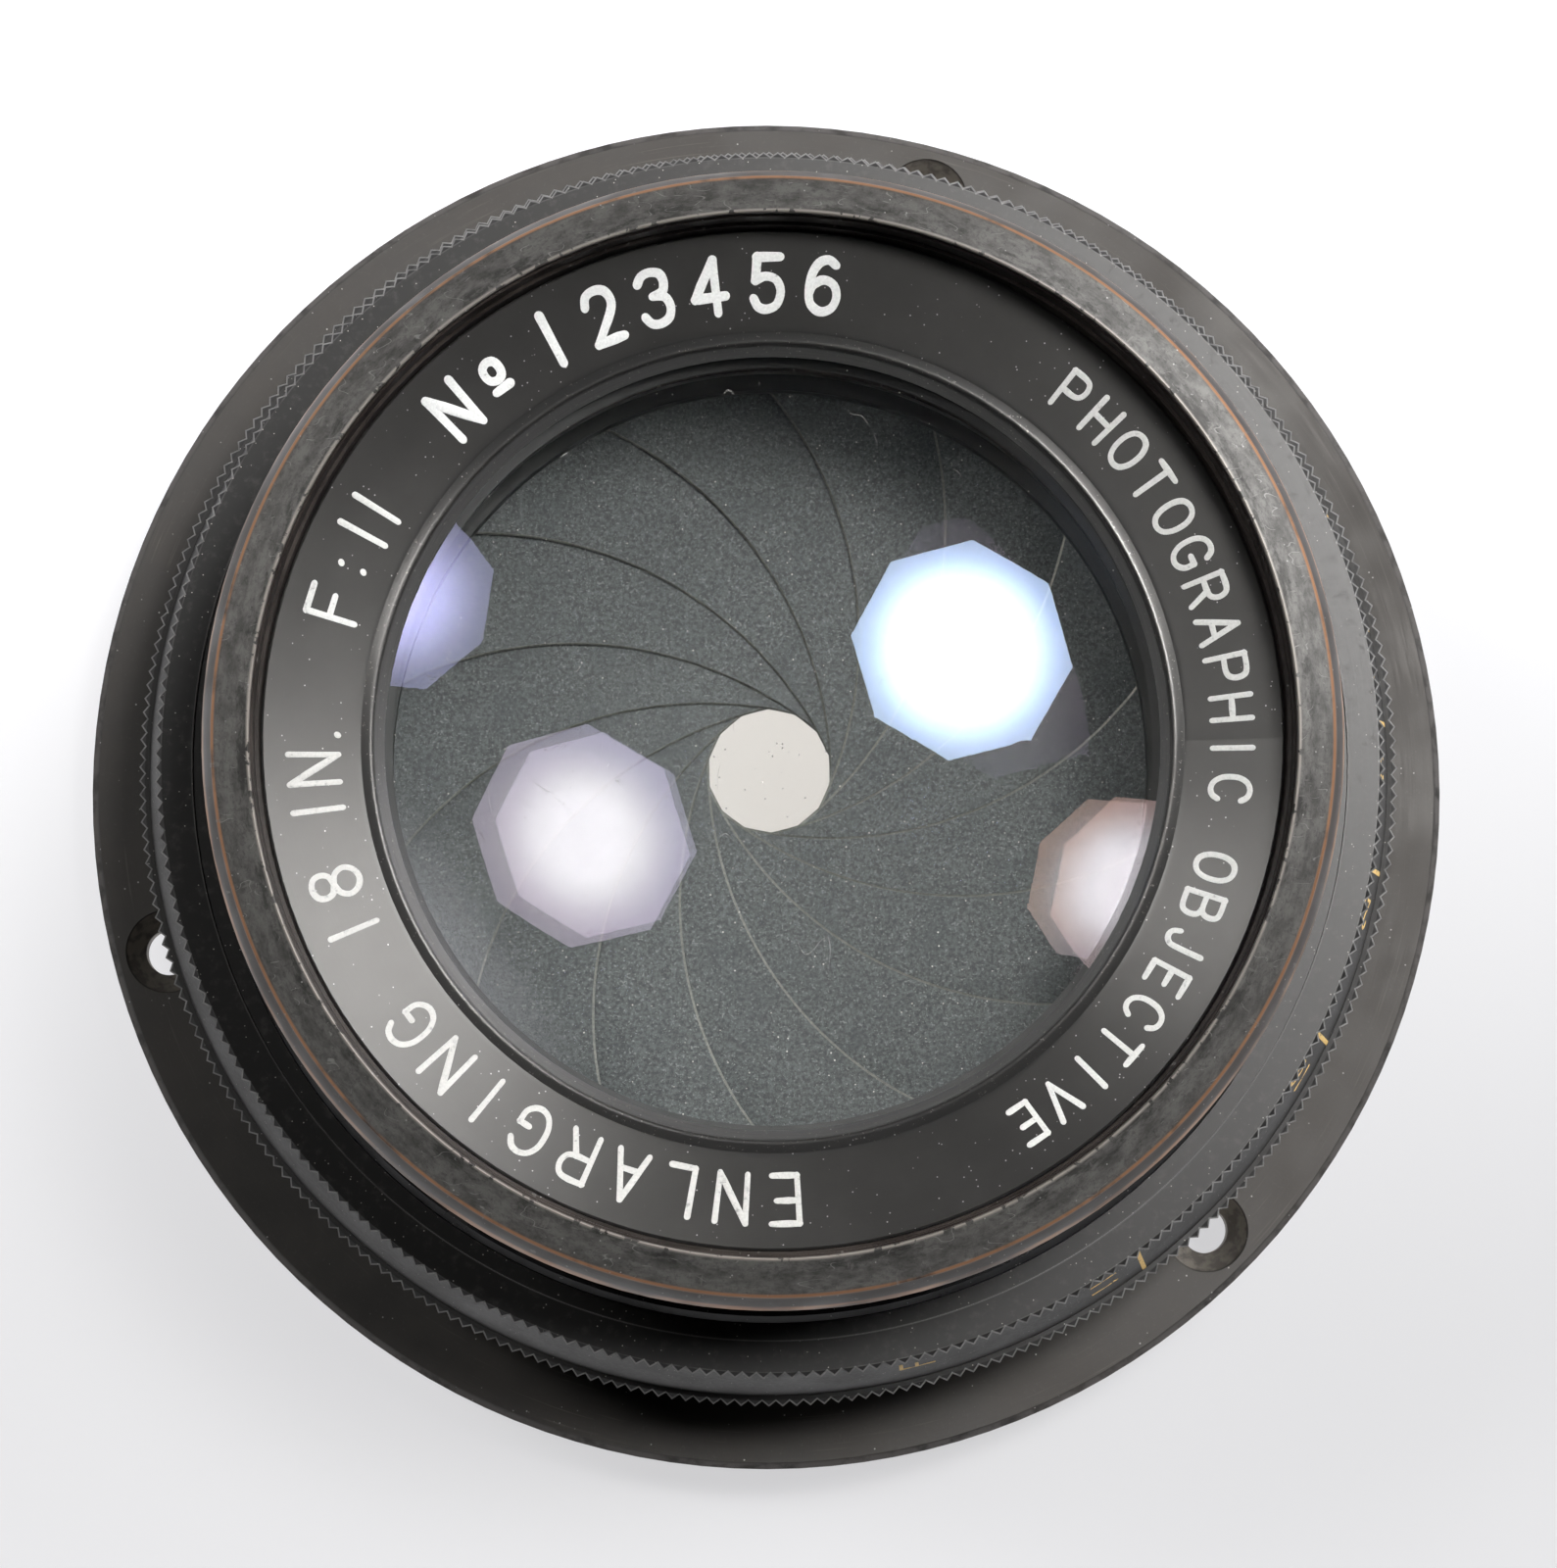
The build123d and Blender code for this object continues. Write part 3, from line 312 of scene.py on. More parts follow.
def cell_black():
    s = Surface("cell_black")
    turning = s.noise(s.turned(10.0, 9.0), 1.0, 4.0)
    cloud = s.noise(s.place, 0.28, 4.0)
    grain = s.noise(s.place, 3.0, 4.0)
    black = s.mix(s.span(cloud, 0.35, 0.7), (0.015, 0.0115, 0.0100), (0.030, 0.0235, 0.0200))
    # rim face: worn to a graphite grey, with darker stains and short scratches
    above_edge = s.span(s.z, RIM_EDGE[1] + 0.02, RIM_EDGE[1] + 0.22)
    face = s.both(above_edge, s.span(s.radius, RIM_INNER[0] - 0.15, RIM_INNER[0] + 0.05))
    stains = s.span(s.noise(s.turned(2.2, 15.0), 1.0, 6.0, 0.75), 0.36, 0.66)
    graphite = s.mix(stains, (0.150, 0.145, 0.137), (0.080, 0.077, 0.073))
    pits = s.span(s.noise(s.place, 3.2, 5.0, 0.8), 0.50, 0.66)
    graphite = s.mix(s.times(pits, 0.5), graphite, (0.040, 0.039, 0.038))
    smears = s.span(s.noise(s.turned(1.8, 9.0), 1.0, 5.0, 0.7), 0.47, 0.60)
    smears = s.both(smears, s.span(s.radius, 31.9, 31.2, 0.25, 1.0))
    graphite = s.mix(s.times(smears, 0.6), graphite, (0.018, 0.0175, 0.017))
    marks = s.band(s.noise(s.vector("MULTIPLY", s.place, (0.35, 0.9, 1.0)), 1.1, 1.0), 0.5, 0.012)
    marks = s.both(marks, s.span(s.noise(s.place, 0.8, 2.0), 0.54, 0.60))
    graphite = s.mix(s.times(marks, 0.6), graphite, (0.30, 0.29, 0.28))
    colour = s.mix(face, black, graphite)
    # bare brass along the rim's outer edge; on the shoulder and the bead's outer wall the brass colour is
    # partly wear, partly a painted reflection
    edge_wear = s.span(s.noise(s.turned(0.4, 9.0), 1.0, 5.0), 0.26, 0.48)
    near_rim = s.span(s.z, RIM_EDGE[1] - 0.4, RIM_EDGE[1] - 0.1)
    outer_line = s.both(s.band(s.radius, RIM_EDGE[0] - 0.06, 0.17), near_rim)
    shoulder_reflection_line = s.both(s.band(s.z, BEAD_TOP + 0.12, 0.16), s.span(s.radius, 33.2, 33.4))
    shoulder_reflection_line = s.both(shoulder_reflection_line, 0.6)
    bead_patches = s.span(s.noise(s.turned(0.5, 6.0), 1.0, 4.0), 0.36, 0.60, 0.15, 0.85)
    bead_side = s.span(s.radius, BEAD_RADIUS - 0.30, BEAD_RADIUS - 0.14)
    bead = s.both(bead_side, s.span(s.z, BEAD_TOP - 0.6, BEAD_TOP - 0.3))
    brass_and_reflection = s.either(s.both(s.either(outer_line, shoulder_reflection_line), edge_wear), s.both(bead, bead_patches))
    colour = s.mix(brass_and_reflection, colour, (0.36, 0.19, 0.105))
    # inner edge of the rim: light, with dark chips
    chips = s.span(s.noise(s.turned(1.0, 42.0), 1.0, 4.0), 0.56, 0.60, 1.0, 0.0)
    near_top = s.span(s.z, RIM_INNER[1] - 0.5, RIM_INNER[1] - 0.2)
    inner_edge = s.both(s.band(s.radius, RIM_INNER[0], 0.16), near_top)
    colour = s.mix(s.both(inner_edge, chips), colour, (0.33, 0.30, 0.27))
    colour = s.mix(specks(s, 0.55), colour, (0.32, 0.31, 0.30))
    scratch = s.span(s.noise(s.turned(1.2, 60.0), 1.0, 2.0), 0.68, 0.72)
    colour = s.mix(s.times(scratch, 0.35), colour, (0.20, 0.19, 0.18))
    rough = s.mix(face, s.span(cloud, 0.35, 0.7, 0.36, 0.50), s.span(grain, 0.3, 0.7, 0.30, 0.44))
    height = s.plus(s.times(turning, 0.6), s.times(marks, -0.7))
    s.metal(
        colour, rough, s.bump(height, 0.014, 0.6), s.either(s.times(face, 0.55), s.both(brass_and_reflection, 0.9)),
        Anisotropic=0.3, Specular_IOR_Level=0.24, Specular_Tint=(1.0, 0.96, 0.92),
    )
    return s.material


def name_ring_black():
    s = Surface("name_ring_black")
    turning = s.noise(s.turned(14.0, 7.0), 1.0, 5.0)
    cloud = s.noise(s.place, 0.3, 4.0)
    grain = s.noise(s.place, 5.0, 3.0)
    colour = s.mix(s.span(cloud, 0.35, 0.7), (0.0040, 0.0039, 0.0038), (0.0090, 0.0087, 0.0085))
    # raised lip inside the lettering
    lip = s.both(s.span(s.radius, 24.75, 24.45), s.span(s.radius, 23.75, 23.95))
    colour = s.mix(lip, colour, (0.012, 0.012, 0.012))
    # narrow bevel next to the glass, brushed nearly bare
    bevel = s.both(s.span(s.radius, 23.72, 23.6), s.span(turning, 0.3, 0.6, 0.6, 1.0))
    colour = s.mix(bevel, colour, (0.13, 0.128, 0.125))
    colour = s.mix(specks(s, 0.7, 1.9), colour, (0.4, 0.39, 0.38))
    lint = s.both(s.span(s.noise(s.place, 3.8, 4.0, 0.8), 0.62, 0.68), s.span(s.radius, 24.6, 24.2, 0.0, 0.8))
    colour = s.mix(lint, colour, (0.34, 0.32, 0.29))
    rough = s.span(s.plus(s.times(turning, 0.6), s.times(grain, 0.3)), 0.25, 0.65, 0.37, 0.43)
    height = s.plus(turning, s.times(grain, 0.25))
    s.metal(
        colour, s.mix(lip, rough, (0.30, 0.30, 0.30)), s.bump(height, 0.010, 0.5), s.times(bevel, 0.7),
        Anisotropic=0.84, Specular_IOR_Level=0.82, Specular_Tint=(1.0, 0.97, 0.93),
    )
    return s.material


def inner_black():
    s = Surface("inner_black")
    ribs = s.noise(s.turned(5.0, 4.0), 1.0, 3.0)
    colour = s.mix(s.span(ribs, 0.3, 0.7), (0.006, 0.006, 0.0065), (0.016, 0.016, 0.016))
    s.metal(colour, s.span(ribs, 0.3, 0.7, 0.5, 0.7), s.bump(ribs, 0.02, 0.6))
    return s.material


def blade_steel():
    s = Surface("blade_steel")
    grain = s.noise(s.place, 4.6, 4.0, 0.7)
    flecks = s.noise(s.place, 6.0, 2.0, 0.6)
    cloud = s.noise(s.place, 0.45, 3.0)
    colour = s.mix(s.span(grain, 0.36, 0.66), (0.027, 0.030, 0.032), (0.078, 0.083, 0.087))
    colour = s.mix(s.span(flecks, 0.58, 0.70, 0.0, 0.8), colour, (0.155, 0.163, 0.163))
    colour = s.mix(s.span(cloud, 0.45, 0.75, 0.0, 0.45), colour, (0.036, 0.041, 0.045))
    rough = s.span(grain, 0.3, 0.7, 0.40, 0.58)
    s.metal(colour, rough, s.bump(s.plus(grain, s.times(flecks, 0.6)), 0.010, 0.5), 0.35)
    return s.material


def bare_steel(name, colour, roughness):
    s = Surface(name)
    grain = s.noise(s.place, 6.0, 3.0)
    colour = s.mix(s.span(grain, 0.35, 0.7), tuple(0.7 * c for c in colour), colour)
    s.metal(colour, s.span(grain, 0.3, 0.7, roughness, roughness + 0.15), s.bump(grain, 0.006, 0.5), 1.0)
    return s.material


def glass(name, tint, level, left_reflection_tint=None, dusty=False):
    """Polished glass that bends light, with a coated surface; lamps shine through it onto the iris. A left
    tint, if given, turns the coating's reflections towards it on the left: a painted reflection colour.
    """
    s = Surface(name)
    smear = s.noise(s.place, 0.35, 4.0)
    node = s.metal((0.985, 0.99, 0.985), s.span(smear, 0.45, 0.75, 0.0, 0.012))
    node.inputs["Transmission Weight"].default_value = 1.0
    node.inputs["IOR"].default_value = 1.53
    node.inputs["Specular Tint"].default_value = (*tint, 1.0)
    # towards the left, a painted reflection colour: the coating's reflections take the left tint
    if left_reflection_tint is not None:
        s.link(s.mix(s.span(s.x, -10.0, 4.0), left_reflection_tint, tint), node.inputs["Specular Tint"])
    node.inputs["Specular IOR Level"].default_value = level
    clear = s.add("ShaderNodeBsdfTransparent")
    clear.inputs["Color"].default_value = (0.97, 0.975, 0.97, 1.0)
    path = s.add("ShaderNodeLightPath")
    blend = s.add("ShaderNodeMixShader")
    s.link(path.outputs["Is Shadow Ray"], blend.inputs[0])
    s.link(node.outputs[0], blend.inputs[1])
    s.link(clear.outputs[0], blend.inputs[2])
    if not dusty:
        s.link(blend.outputs[0], s.output.inputs["Surface"])
        return s.material
    # lint, dust and hair scratches lying on the outer surface
    hair = s.band(s.noise(s.place, 0.22, 1.0, 0.4), 0.5, 0.0016)
    short = s.span(s.noise(s.place, 0.9, 2.0), 0.60, 0.66)
    scratch = s.band(s.noise(s.vector("MULTIPLY", s.place, (0.5, 0.16, 1.0)), 0.8, 0.0), 0.42, 0.0035)
    scratch = s.both(scratch, s.span(s.noise(s.place, 0.3, 2.0), 0.56, 0.64))
    marks = s.times(s.either(s.both(hair, short), scratch), 0.35)
    marks = s.either(marks, s.times(specks(s, 0.85, 1.5), 0.6))
    lint = s.add("ShaderNodeBsdfDiffuse")
    s.link(s.mix(s.span(smear, 0.3, 0.7), (0.62, 0.60, 0.57), (0.42, 0.40, 0.38)), lint.inputs["Color"])
    top = s.add("ShaderNodeMixShader")
    s.link(marks, top.inputs[0])
    s.link(blend.outputs[0], top.inputs[1])
    s.link(lint.outputs[0], top.inputs[2])
    s.link(top.outputs[0], s.output.inputs["Surface"])
    return s.material


def paint(name, colour, worn_colour, wear_low, wear_high):
    """Engraver's filling, worn thin in places."""
    s = Surface(name)
    wear = s.span(s.noise(s.place, 2.2, 5.0, 0.65), wear_low, wear_high)
    grain = s.noise(s.place, 7.0, 3.0)
    base = s.mix(s.span(grain, 0.3, 0.7), tuple(0.86 * c for c in colour), colour)
    s.metal(s.mix(wear, base, worn_colour), 0.62, s.bump(grain, 0.02, 0.7))
    return s.material


# ------------------------------------------------------------------ a material for every slot of the record
nodes = frame["nodes"]
looks = {
    "flange_black": flange_black(),
    "barrel_black": barrel_black(),
    "ring_grey": ring_grey(),
    "cell_black": cell_black(),
    "name_ring_black": name_ring_black(),
    "inner_black": inner_black(),
    "blade_steel": blade_steel(),
    "pin_steel": bare_steel("pin_steel", (0.45, 0.45, 0.44), 0.3),
    "screw_steel": bare_steel("screw_steel", (0.10, 0.10, 0.10), 0.35),
}
# lighter steel for the rolled edges of the blades: partly worn metal, partly a painted highlight
blade_edge_and_highlight = bare_steel("blade_edge_and_highlight", (0.165, 0.165, 0.155), 0.32)
bold_paint = paint("bold_white_paint", (0.80, 0.80, 0.78), (0.40, 0.395, 0.38), 0.62, 0.76)
plain_paint = paint("white_paint", (0.68, 0.675, 0.65), (0.34, 0.335, 0.32), 0.60, 0.74)
dull_paint = paint("dull_white_paint", (0.54, 0.53, 0.505), (0.26, 0.255, 0.245), 0.56, 0.72)
gold_paint = paint("gold_paint", (0.78, 0.52, 0.17), (0.12, 0.085, 0.04), 0.56, 0.68)
blue_coat = glass("glass_blue_coat", (0.45, 0.59, 0.84), 0.5, (0.26, 0.26, 0.45), dusty=True)
violet_coat = glass("glass_violet_coat", (0.96, 0.91, 1.0), 1.0)
rose_coat = glass("glass_rose_coat", (0.96, 0.92, 1.0), 1.0)
plum_coat = glass("glass_plum_coat", (0.14, 0.11, 0.16), 0.5)

for row in frame["record"]["subparts"]:
    node = nodes[row["node"]]
    slot = row["material_slot"]
    if slot in looks:
        node.data.materials.clear()
        node.data.materials.append(looks[slot])


def coat(node_name, front, rear):
    """A glass element: one coating on the faces that look forwards, another on the rest."""
    mesh = nodes[node_name].data
    mesh.materials.clear()
    mesh.materials.append(front)
    mesh.materials.append(rear)
    for face in mesh.polygons:
        face.material_index = 0 if face.normal.z > 0 else 1


coat("front_outer_element", blue_coat, violet_coat)
coat("front_inner_element", rose_coat, plum_coat)
coat("rear_inner_element", plum_coat, rose_coat)
coat("rear_outer_element", violet_coat, blue_coat)


# ------------------------------------------------------------------ engraved lettering
# Single-stroke engraver's letters in a box 1 high. "/" starts a new stroke; points are x,y in tenths.
GLYPHS = {
    "A": "0,0 3.3,10 6.6,0 / 1.3,3.6 5.3,3.6",
    "B": "0,0 0,10 3.6,10 5,9.4 5.5,7.7 5,6 3.6,5.3 0.3,5.3 / 3.6,5.3 5.4,4.6 6,2.7 5.4,0.7 3.6,0 0,0",
    "C": "6,8.1 5,9.5 3.3,10 1.5,9.3 0.3,7.4 0,5 0.3,2.6 1.5,0.7 3.3,0 5,0.5 6,1.9",
    "E": "5.4,10 0,10 0,0 5.4,0 / 0.3,5.2 4.4,5.2",
    "F": "5.4,10 0,10 0,0 / 0.3,5.2 4.4,5.2",
    "G": "6,8.1 5,9.5 3.3,10 1.5,9.3 0.3,7.4 0,5 0.3,2.6 1.5,0.7 3.3,0 5,0.5 6.2,2 6.2,4.4 4,4.4",
    "H": "0,0 0,10 / 6,0 6,10 / 0.3,5.2 5.7,5.2",
    "I": "0,0 0,10",
    "J": "4.4,10 4.4,2.6 3.8,0.7 2.2,0 0.7,0.6 0,2.4",
    "L": "0,10 0,0 5.2,0",
    "N": "0,0 0,10 / 0,10 6,0 / 6,0 6,10",
    "O": "3.3,10 1.4,9.3 0.3,7.4 0,5 0.3,2.6 1.4,0.7 3.3,0 5.2,0.7 6.3,2.6 6.6,5 6.3,7.4 5.2,9.3 3.3,10",
    "P": "0,0 0,10 3.6,10 5.3,9.3 5.9,7.3 5.3,5.4 3.6,4.6 0.3,4.6",
    "R": "0,0 0,10 3.6,10 5.2,9.3 5.8,7.5 5.2,5.7 3.6,5 0.3,5 / 3.4,5 6,0",
    "T": "0,10 6,10 / 3,10 3,0",
    "V": "0,10 3.1,0 6.2,10",
    "0": "3,10 1.2,9.2 0.2,7.2 0,5 0.2,2.8 1.2,0.8 3,0 4.8,0.8 5.8,2.8 6,5 5.8,7.2 4.8,9.2 3,10",
    "1": "0,0 0,10",
    "2": "0.2,7.6 1,9.4 2.8,10 4.7,9.4 5.5,7.6 5,5.6 2.6,2.8 0,0 5.8,0",
    "3": "0.2,8.4 1.2,9.6 2.8,10 4.6,9.4 5.2,7.8 4.6,6 2.6,5.4 / "
         "2.6,5.4 4.8,4.8 5.6,2.8 4.8,0.8 2.8,0 1,0.4 0,1.8",
    "4": "4.4,0 4.4,10 0,3 6.2,3",
    "5": "5.2,10 1,10 0.5,5.6 2.6,6.3 4.7,5.6 5.6,3.4 4.8,0.9 2.7,0 0.9,0.5 0,2",
    "6": "4.8,9.2 3.4,10 1.6,9.2 0.4,7 0,3.8 0.6,1.2 2.8,0 5,0.9 5.8,3.1 5,5.3 2.9,6.1 0.8,5 0.1,3.4",
    "8": "2.9,10 1.1,9.3 0.5,7.7 1.1,6.1 2.9,5.4 4.9,4.6 5.8,2.7 4.9,0.8 2.9,0 "
         "0.9,0.8 0,2.7 0.9,4.6 2.9,5.4 4.7,6.1 5.3,7.7 4.7,9.3 2.9,10",
    "9": "1,0.8 2.4,0 4.2,0.8 5.4,3 5.8,6.2 5.2,8.8 3,10 0.8,9.1 0,6.9 0.8,4.7 2.9,3.9 5,5 5.7,6.6",
    ".": "0,0 0.1,0.1",
    ":": "0,1.6 0.1,1.7 / 0,6.4 0.1,6.5",
    "o": "2,8 0.7,7.4 0.3,6 0.7,4.6 2,4 3.3,4.6 3.7,6 3.3,7.4 2,8 / 0.3,2.2 3.7,2.2",
}
CURVED = set("BCGJOPR0235689o")
SMOOTH_STEPS = 4
HALF_PROFILE = 4
CAP_ANGLES = (1.45, 1.1, 0.75, 0.4)
EDGE_DROP_MM = 0.004
FILLING_DEPTH = 0.05
RING_FILLING_RISE = 0.03
SCALE_FILLING_RISE = 0.02


def corner(a, b, c):
    """True if the path a, b, c turns by more than about 60 degrees."""
    first = Vector((b[0] - a[0], b[1] - a[1]))
    second = Vector((c[0] - b[0], c[1] - b[1]))
    if first.length < 1e-6 or second.length < 1e-6:
        return False
    return first.normalized().dot(second.normalized()) < 0.5


def runs_between_corners(points):
    """Split a path where it turns a corner, as the cutter starts afresh there and keeps its full width."""
    runs = [[points[0]]]
    for before, point, after in zip(points, points[1:], points[2:]):
        runs[-1].append(point)
        if corner(before, point, after):
            runs.append([point])
    runs[-1].append(points[-1])
    return runs


def smooth(points):
    """Catmull-Rom curve through the points."""
    out = []
    count = len(points)
    closed = points[0] == points[-1]
    for i in range(count - 1):
        before = points[i - 1] if i else (points[-2] if closed else points[0])
        after = points[i + 2] if i + 2 < count else (points[1] if closed else points[-1])
        a, b = points[i], points[i + 1]
        for step in range(SMOOTH_STEPS):
            t = step / SMOOTH_STEPS
            out.append(tuple(catmull_rom(before[k], a[k], b[k], after[k], t) for k in (0, 1)))
    out.append(points[-1])
    return out


def catmull_rom(before, a, b, after, t):
    """Value at t from 0 to 1 between a and b."""
    slope = b - before
    bend = 2 * before - 5 * a + 4 * b - after
    twist = 3 * a - before - 3 * b + after
    return 0.5 * (2 * a + slope * t + bend * t * t + twist * t**3)


def strokes_of(letter):
    """Strokes of a letter in its unit box, with round letters smoothed, centred on x."""
    strokes = []
    for part in GLYPHS[letter].split("/"):
        points = [tuple(float(v) / 10 for v in pair.split(",")) for pair in part.split()]
        for run in runs_between_corners(points):
            strokes.append(smooth(run) if letter in CURVED and len(run) > 2 else run)
    across = [x for stroke in strokes for x, y in stroke]
    middle = (min(across) + max(across)) / 2
    return [[(x - middle, y) for x, y in stroke] for stroke in strokes]


def add_stroke(mesh, path, width, rise, depth, onto):
    """One engraved and filled stroke: a shallow bead with round ends. onto(x, y, height) gives its place."""
    half = width / 2
    path = [Vector(p) for p in path]
    rings = []
    last = len(path) - 1
    for i, point in enumerate(path):
        ahead = path[min(i + 1, last)] - path[max(i - 1, 0)]
        ahead.normalize()
        side = Vector((-ahead.y, ahead.x))
        rings.append((point, side, 1.0))
        if i in (0, last):
            facing = -1 if i == 0 else 1
            cap = [(point + ahead * half * facing * sin(a), side, cos(a)) for a in CAP_ANGLES]
            rings = cap + rings if i == 0 else rings + cap[::-1]
    loops = []
    for point, side, share in rings:
        loop = []
        for k in range(-HALF_PROFILE, HALF_PROFILE + 1):
            v = k / HALF_PROFILE
            spot = point + side * (half * share * v)
            loop.append(mesh.verts.new(onto(spot.x, spot.y, rise * (1 - v * v) * share - EDGE_DROP_MM)))
        for k in (HALF_PROFILE, -HALF_PROFILE):
            spot = point + side * (half * share * k / HALF_PROFILE)
            loop.append(mesh.verts.new(onto(spot.x, spot.y, -depth)))
        loops.append(loop)
    close_tube(mesh, loops)


def close_tube(mesh, loops):
    """Faces between the loops and over both ends. Returns the side faces, one list for each pair of loops."""
    around = len(loops[0])
    following = [(k + 1) % around for k in range(around)]
    sides = []
    for a, b in zip(loops, loops[1:]):
        sides.append([mesh.faces.new((a[k], b[k], b[n], a[n])) for k, n in enumerate(following)])
    mesh.faces.new(loops[0])
    mesh.faces.new(loops[-1][::-1])
    return sides


def finish_piece(mesh, name, material, body):
    """Turn a bmesh into a piece that rides on a CAD body."""
    bmesh.ops.recalc_face_normals(mesh, faces=mesh.faces)
    data = bpy.data.meshes.new(name)
    mesh.to_mesh(data)
    mesh.free()
    piece = bpy.data.objects.new(name, data)
    bpy.context.scene.collection.objects.link(piece)
    for face in data.polygons:
        face.use_smooth = True
    data.materials.append(material)
    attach(piece, body)
    return piece


NAME_RING_SLOPE = (NAME_RING_HIGH[1] - NAME_RING_LOW[1]) / (NAME_RING_HIGH[0] - NAME_RING_LOW[0])
LETTER_RADIUS = 27.2


def on_name_ring(angle):
    """Maps letter coordinates in mm to the dished ring: x runs clockwise, y outwards, from this angle."""
    def onto(x, y, height):
        radius = LETTER_RADIUS + y
        turn = radians(angle) - x / LETTER_RADIUS
        z = NAME_RING_LOW[1] + (radius - NAME_RING_LOW[0]) * NAME_RING_SLOPE + height
        return Vector((radius * cos(turn), radius * sin(turn), z)) * MM
    return onto


def engrave(name, text, angles, size, stroke, filling):
    """Letters of text at these angles on the name ring, as one piece."""
    mesh = bmesh.new()
    for letter, angle in zip(text, angles):
        for path in strokes_of(letter):
            mm = [(x * size, (y - 0.5) * size) for x, y in path]
            add_stroke(mesh, mm, stroke, RING_FILLING_RISE, FILLING_DEPTH, on_name_ring(angle))
    return finish_piece(mesh, name, filling, "lens_body")


def spread(first, last, text):
    """One angle for each character of text, evenly from first to last, without the spaces."""
    step = (last - first) / (len(text) - 1)
    return [first + i * step for i, letter in enumerate(text) if letter != " "]


BIG = 2.85
SMALL = 2.25
NUMBER_SIZE = BIG * 1.03
STROKE = 0.42
FINE_STROKE = 0.40
BOLD_STROKE = 0.62
WORD = "ENLARGING"
LEGEND = "PHOTOGRAPHIC OBJECTIVE"
FOCUS_ANGLES = (-155.4, -161.6, -171.0, -176.2, -180.6)
SPEED_ANGLES = (-197.0, -202.2, -206.6, -210.2)
NUMBER_ANGLES = (-226.0, -232.6, -241.0, -248.1, -255.0, -261.9, -269.2, -276.3)
engrave("lettering_word", WORD, spread(-88.5, -141.5, WORD), BIG, STROKE, dull_paint)
engrave("lettering_focus", "18IN.", FOCUS_ANGLES, BIG, STROKE, dull_paint)
engrave("lettering_speed", "F:11", SPEED_ANGLES, BIG, STROKE, plain_paint)
engrave("lettering_number", "No123456", NUMBER_ANGLES, NUMBER_SIZE, BOLD_STROKE, bold_paint)
LEGEND_ANGLES = spread(49.3, -56.5, LEGEND)
engrave("lettering_legend", LEGEND.replace(" ", ""), LEGEND_ANGLES, SMALL, FINE_STROKE, plain_paint)


# ------------------------------------------------------------------ aperture scale
BAND_SLOPE = (BAND_FRONT[0] - BAND_REAR[0]) / (BAND_FRONT[1] - BAND_REAR[1])
BAND_MIDDLE = (BAND_REAR[1] + BAND_FRONT[1]) / 2
INDEX_ANGLE = 19.6
MARKED_STOPS = (11, 16, 22, 32, 45, 64, 90)
FULL_STOP = 11.0
PIVOT_RADIUS = 26.4
BLADE_INNER_RADIUS = 22.6
FULL_OPENING_RADIUS = 19.8
REST_OPENING_RADIUS = 3.55
RING_PER_BLADE = 2.0


def swing_for(opening_radius):
    """Angle that a blade has swung in from concentric, in degrees, for this opening."""
    return 2 * degrees(asin((BLADE_INNER_RADIUS - opening_radius) / (2 * PIVOT_RADIUS)))


REST_SWING = swing_for(REST_OPENING_RADIUS)


def tick_angle(stop):
    """Angle of a stop's line on the scale, with the ring at rest."""
    turn = RING_PER_BLADE * (REST_SWING - swing_for(FULL_OPENING_RADIUS * FULL_STOP / stop))
    return INDEX_ANGLE - turn


def on_band(angle, height_mm):
    """Maps letter coordinates in mm to the scale band: x runs forwards, y clockwise, from this place."""
    def onto(x, y, height):
        z = height_mm + x
        radius = BAND_REAR[0] + (z - BAND_REAR[1]) * BAND_SLOPE + height
        turn = radians(angle) - y / BAND_FRONT[0]
        return Vector((radius * cos(turn), radius * sin(turn), z)) * MM
    return onto


def on_collar(x, y, height):
    """Maps coordinates in mm to the fixed collar at the index's angle: x runs forwards."""
    radius = COLLAR_RADIUS + height
    turn = radians(INDEX_ANGLE) + y / COLLAR_RADIUS
    return Vector((radius * cos(turn), radius * sin(turn), COLLAR_MIDDLE + x)) * MM


def line_along(half_length, steps):
    """Points of a straight line along x."""
    return [(-half_length + 2 * half_length * i / steps, 0.0) for i in range(steps + 1)]


def add_letter(mesh, letter, size, stroke, onto):
    for path in strokes_of(letter):
        mm = [(x * size, y * size) for x, y in path]
        add_stroke(mesh, mm, stroke, SCALE_FILLING_RISE, FILLING_DEPTH, onto)


LINE_WIDTH = 0.3
mesh = bmesh.new()
for stop in MARKED_STOPS:
    add_stroke(mesh, line_along(3.25, 12), LINE_WIDTH, 0.0, 0.1, on_band(tick_angle(stop), BAND_MIDDLE))
finish_piece(mesh, "scale_lines", gold_paint, "aperture_ring")

DIGIT = 1.7
DIGIT_PITCH = 1.75
FIRST_DIGIT_HEIGHT = 20.6
NUMERAL_OFFSET = -3.7 + 0.5 * DIGIT
SCALE_LETTER = DIGIT * 1.2
SCALE_LETTER_ANGLE = -74.5
SCALE_LETTER_HEIGHT = 22.0
mesh = bmesh.new()
for stop in MARKED_STOPS:
    for place, digit in enumerate(str(stop)):
        height = FIRST_DIGIT_HEIGHT + DIGIT_PITCH * place
        add_letter(mesh, digit, DIGIT, 0.22, on_band(tick_angle(stop) + NUMERAL_OFFSET, height))
add_letter(mesh, "F", SCALE_LETTER, 0.24, on_band(SCALE_LETTER_ANGLE, SCALE_LETTER_HEIGHT))
finish_piece(mesh, "scale_numerals", gold_paint, "aperture_ring")

mesh = bmesh.new()
add_stroke(mesh, line_along(2.6, 8), LINE_WIDTH, 0.0, 0.2, on_collar)
finish_piece(mesh, "index_line", gold_paint, "lens_body")
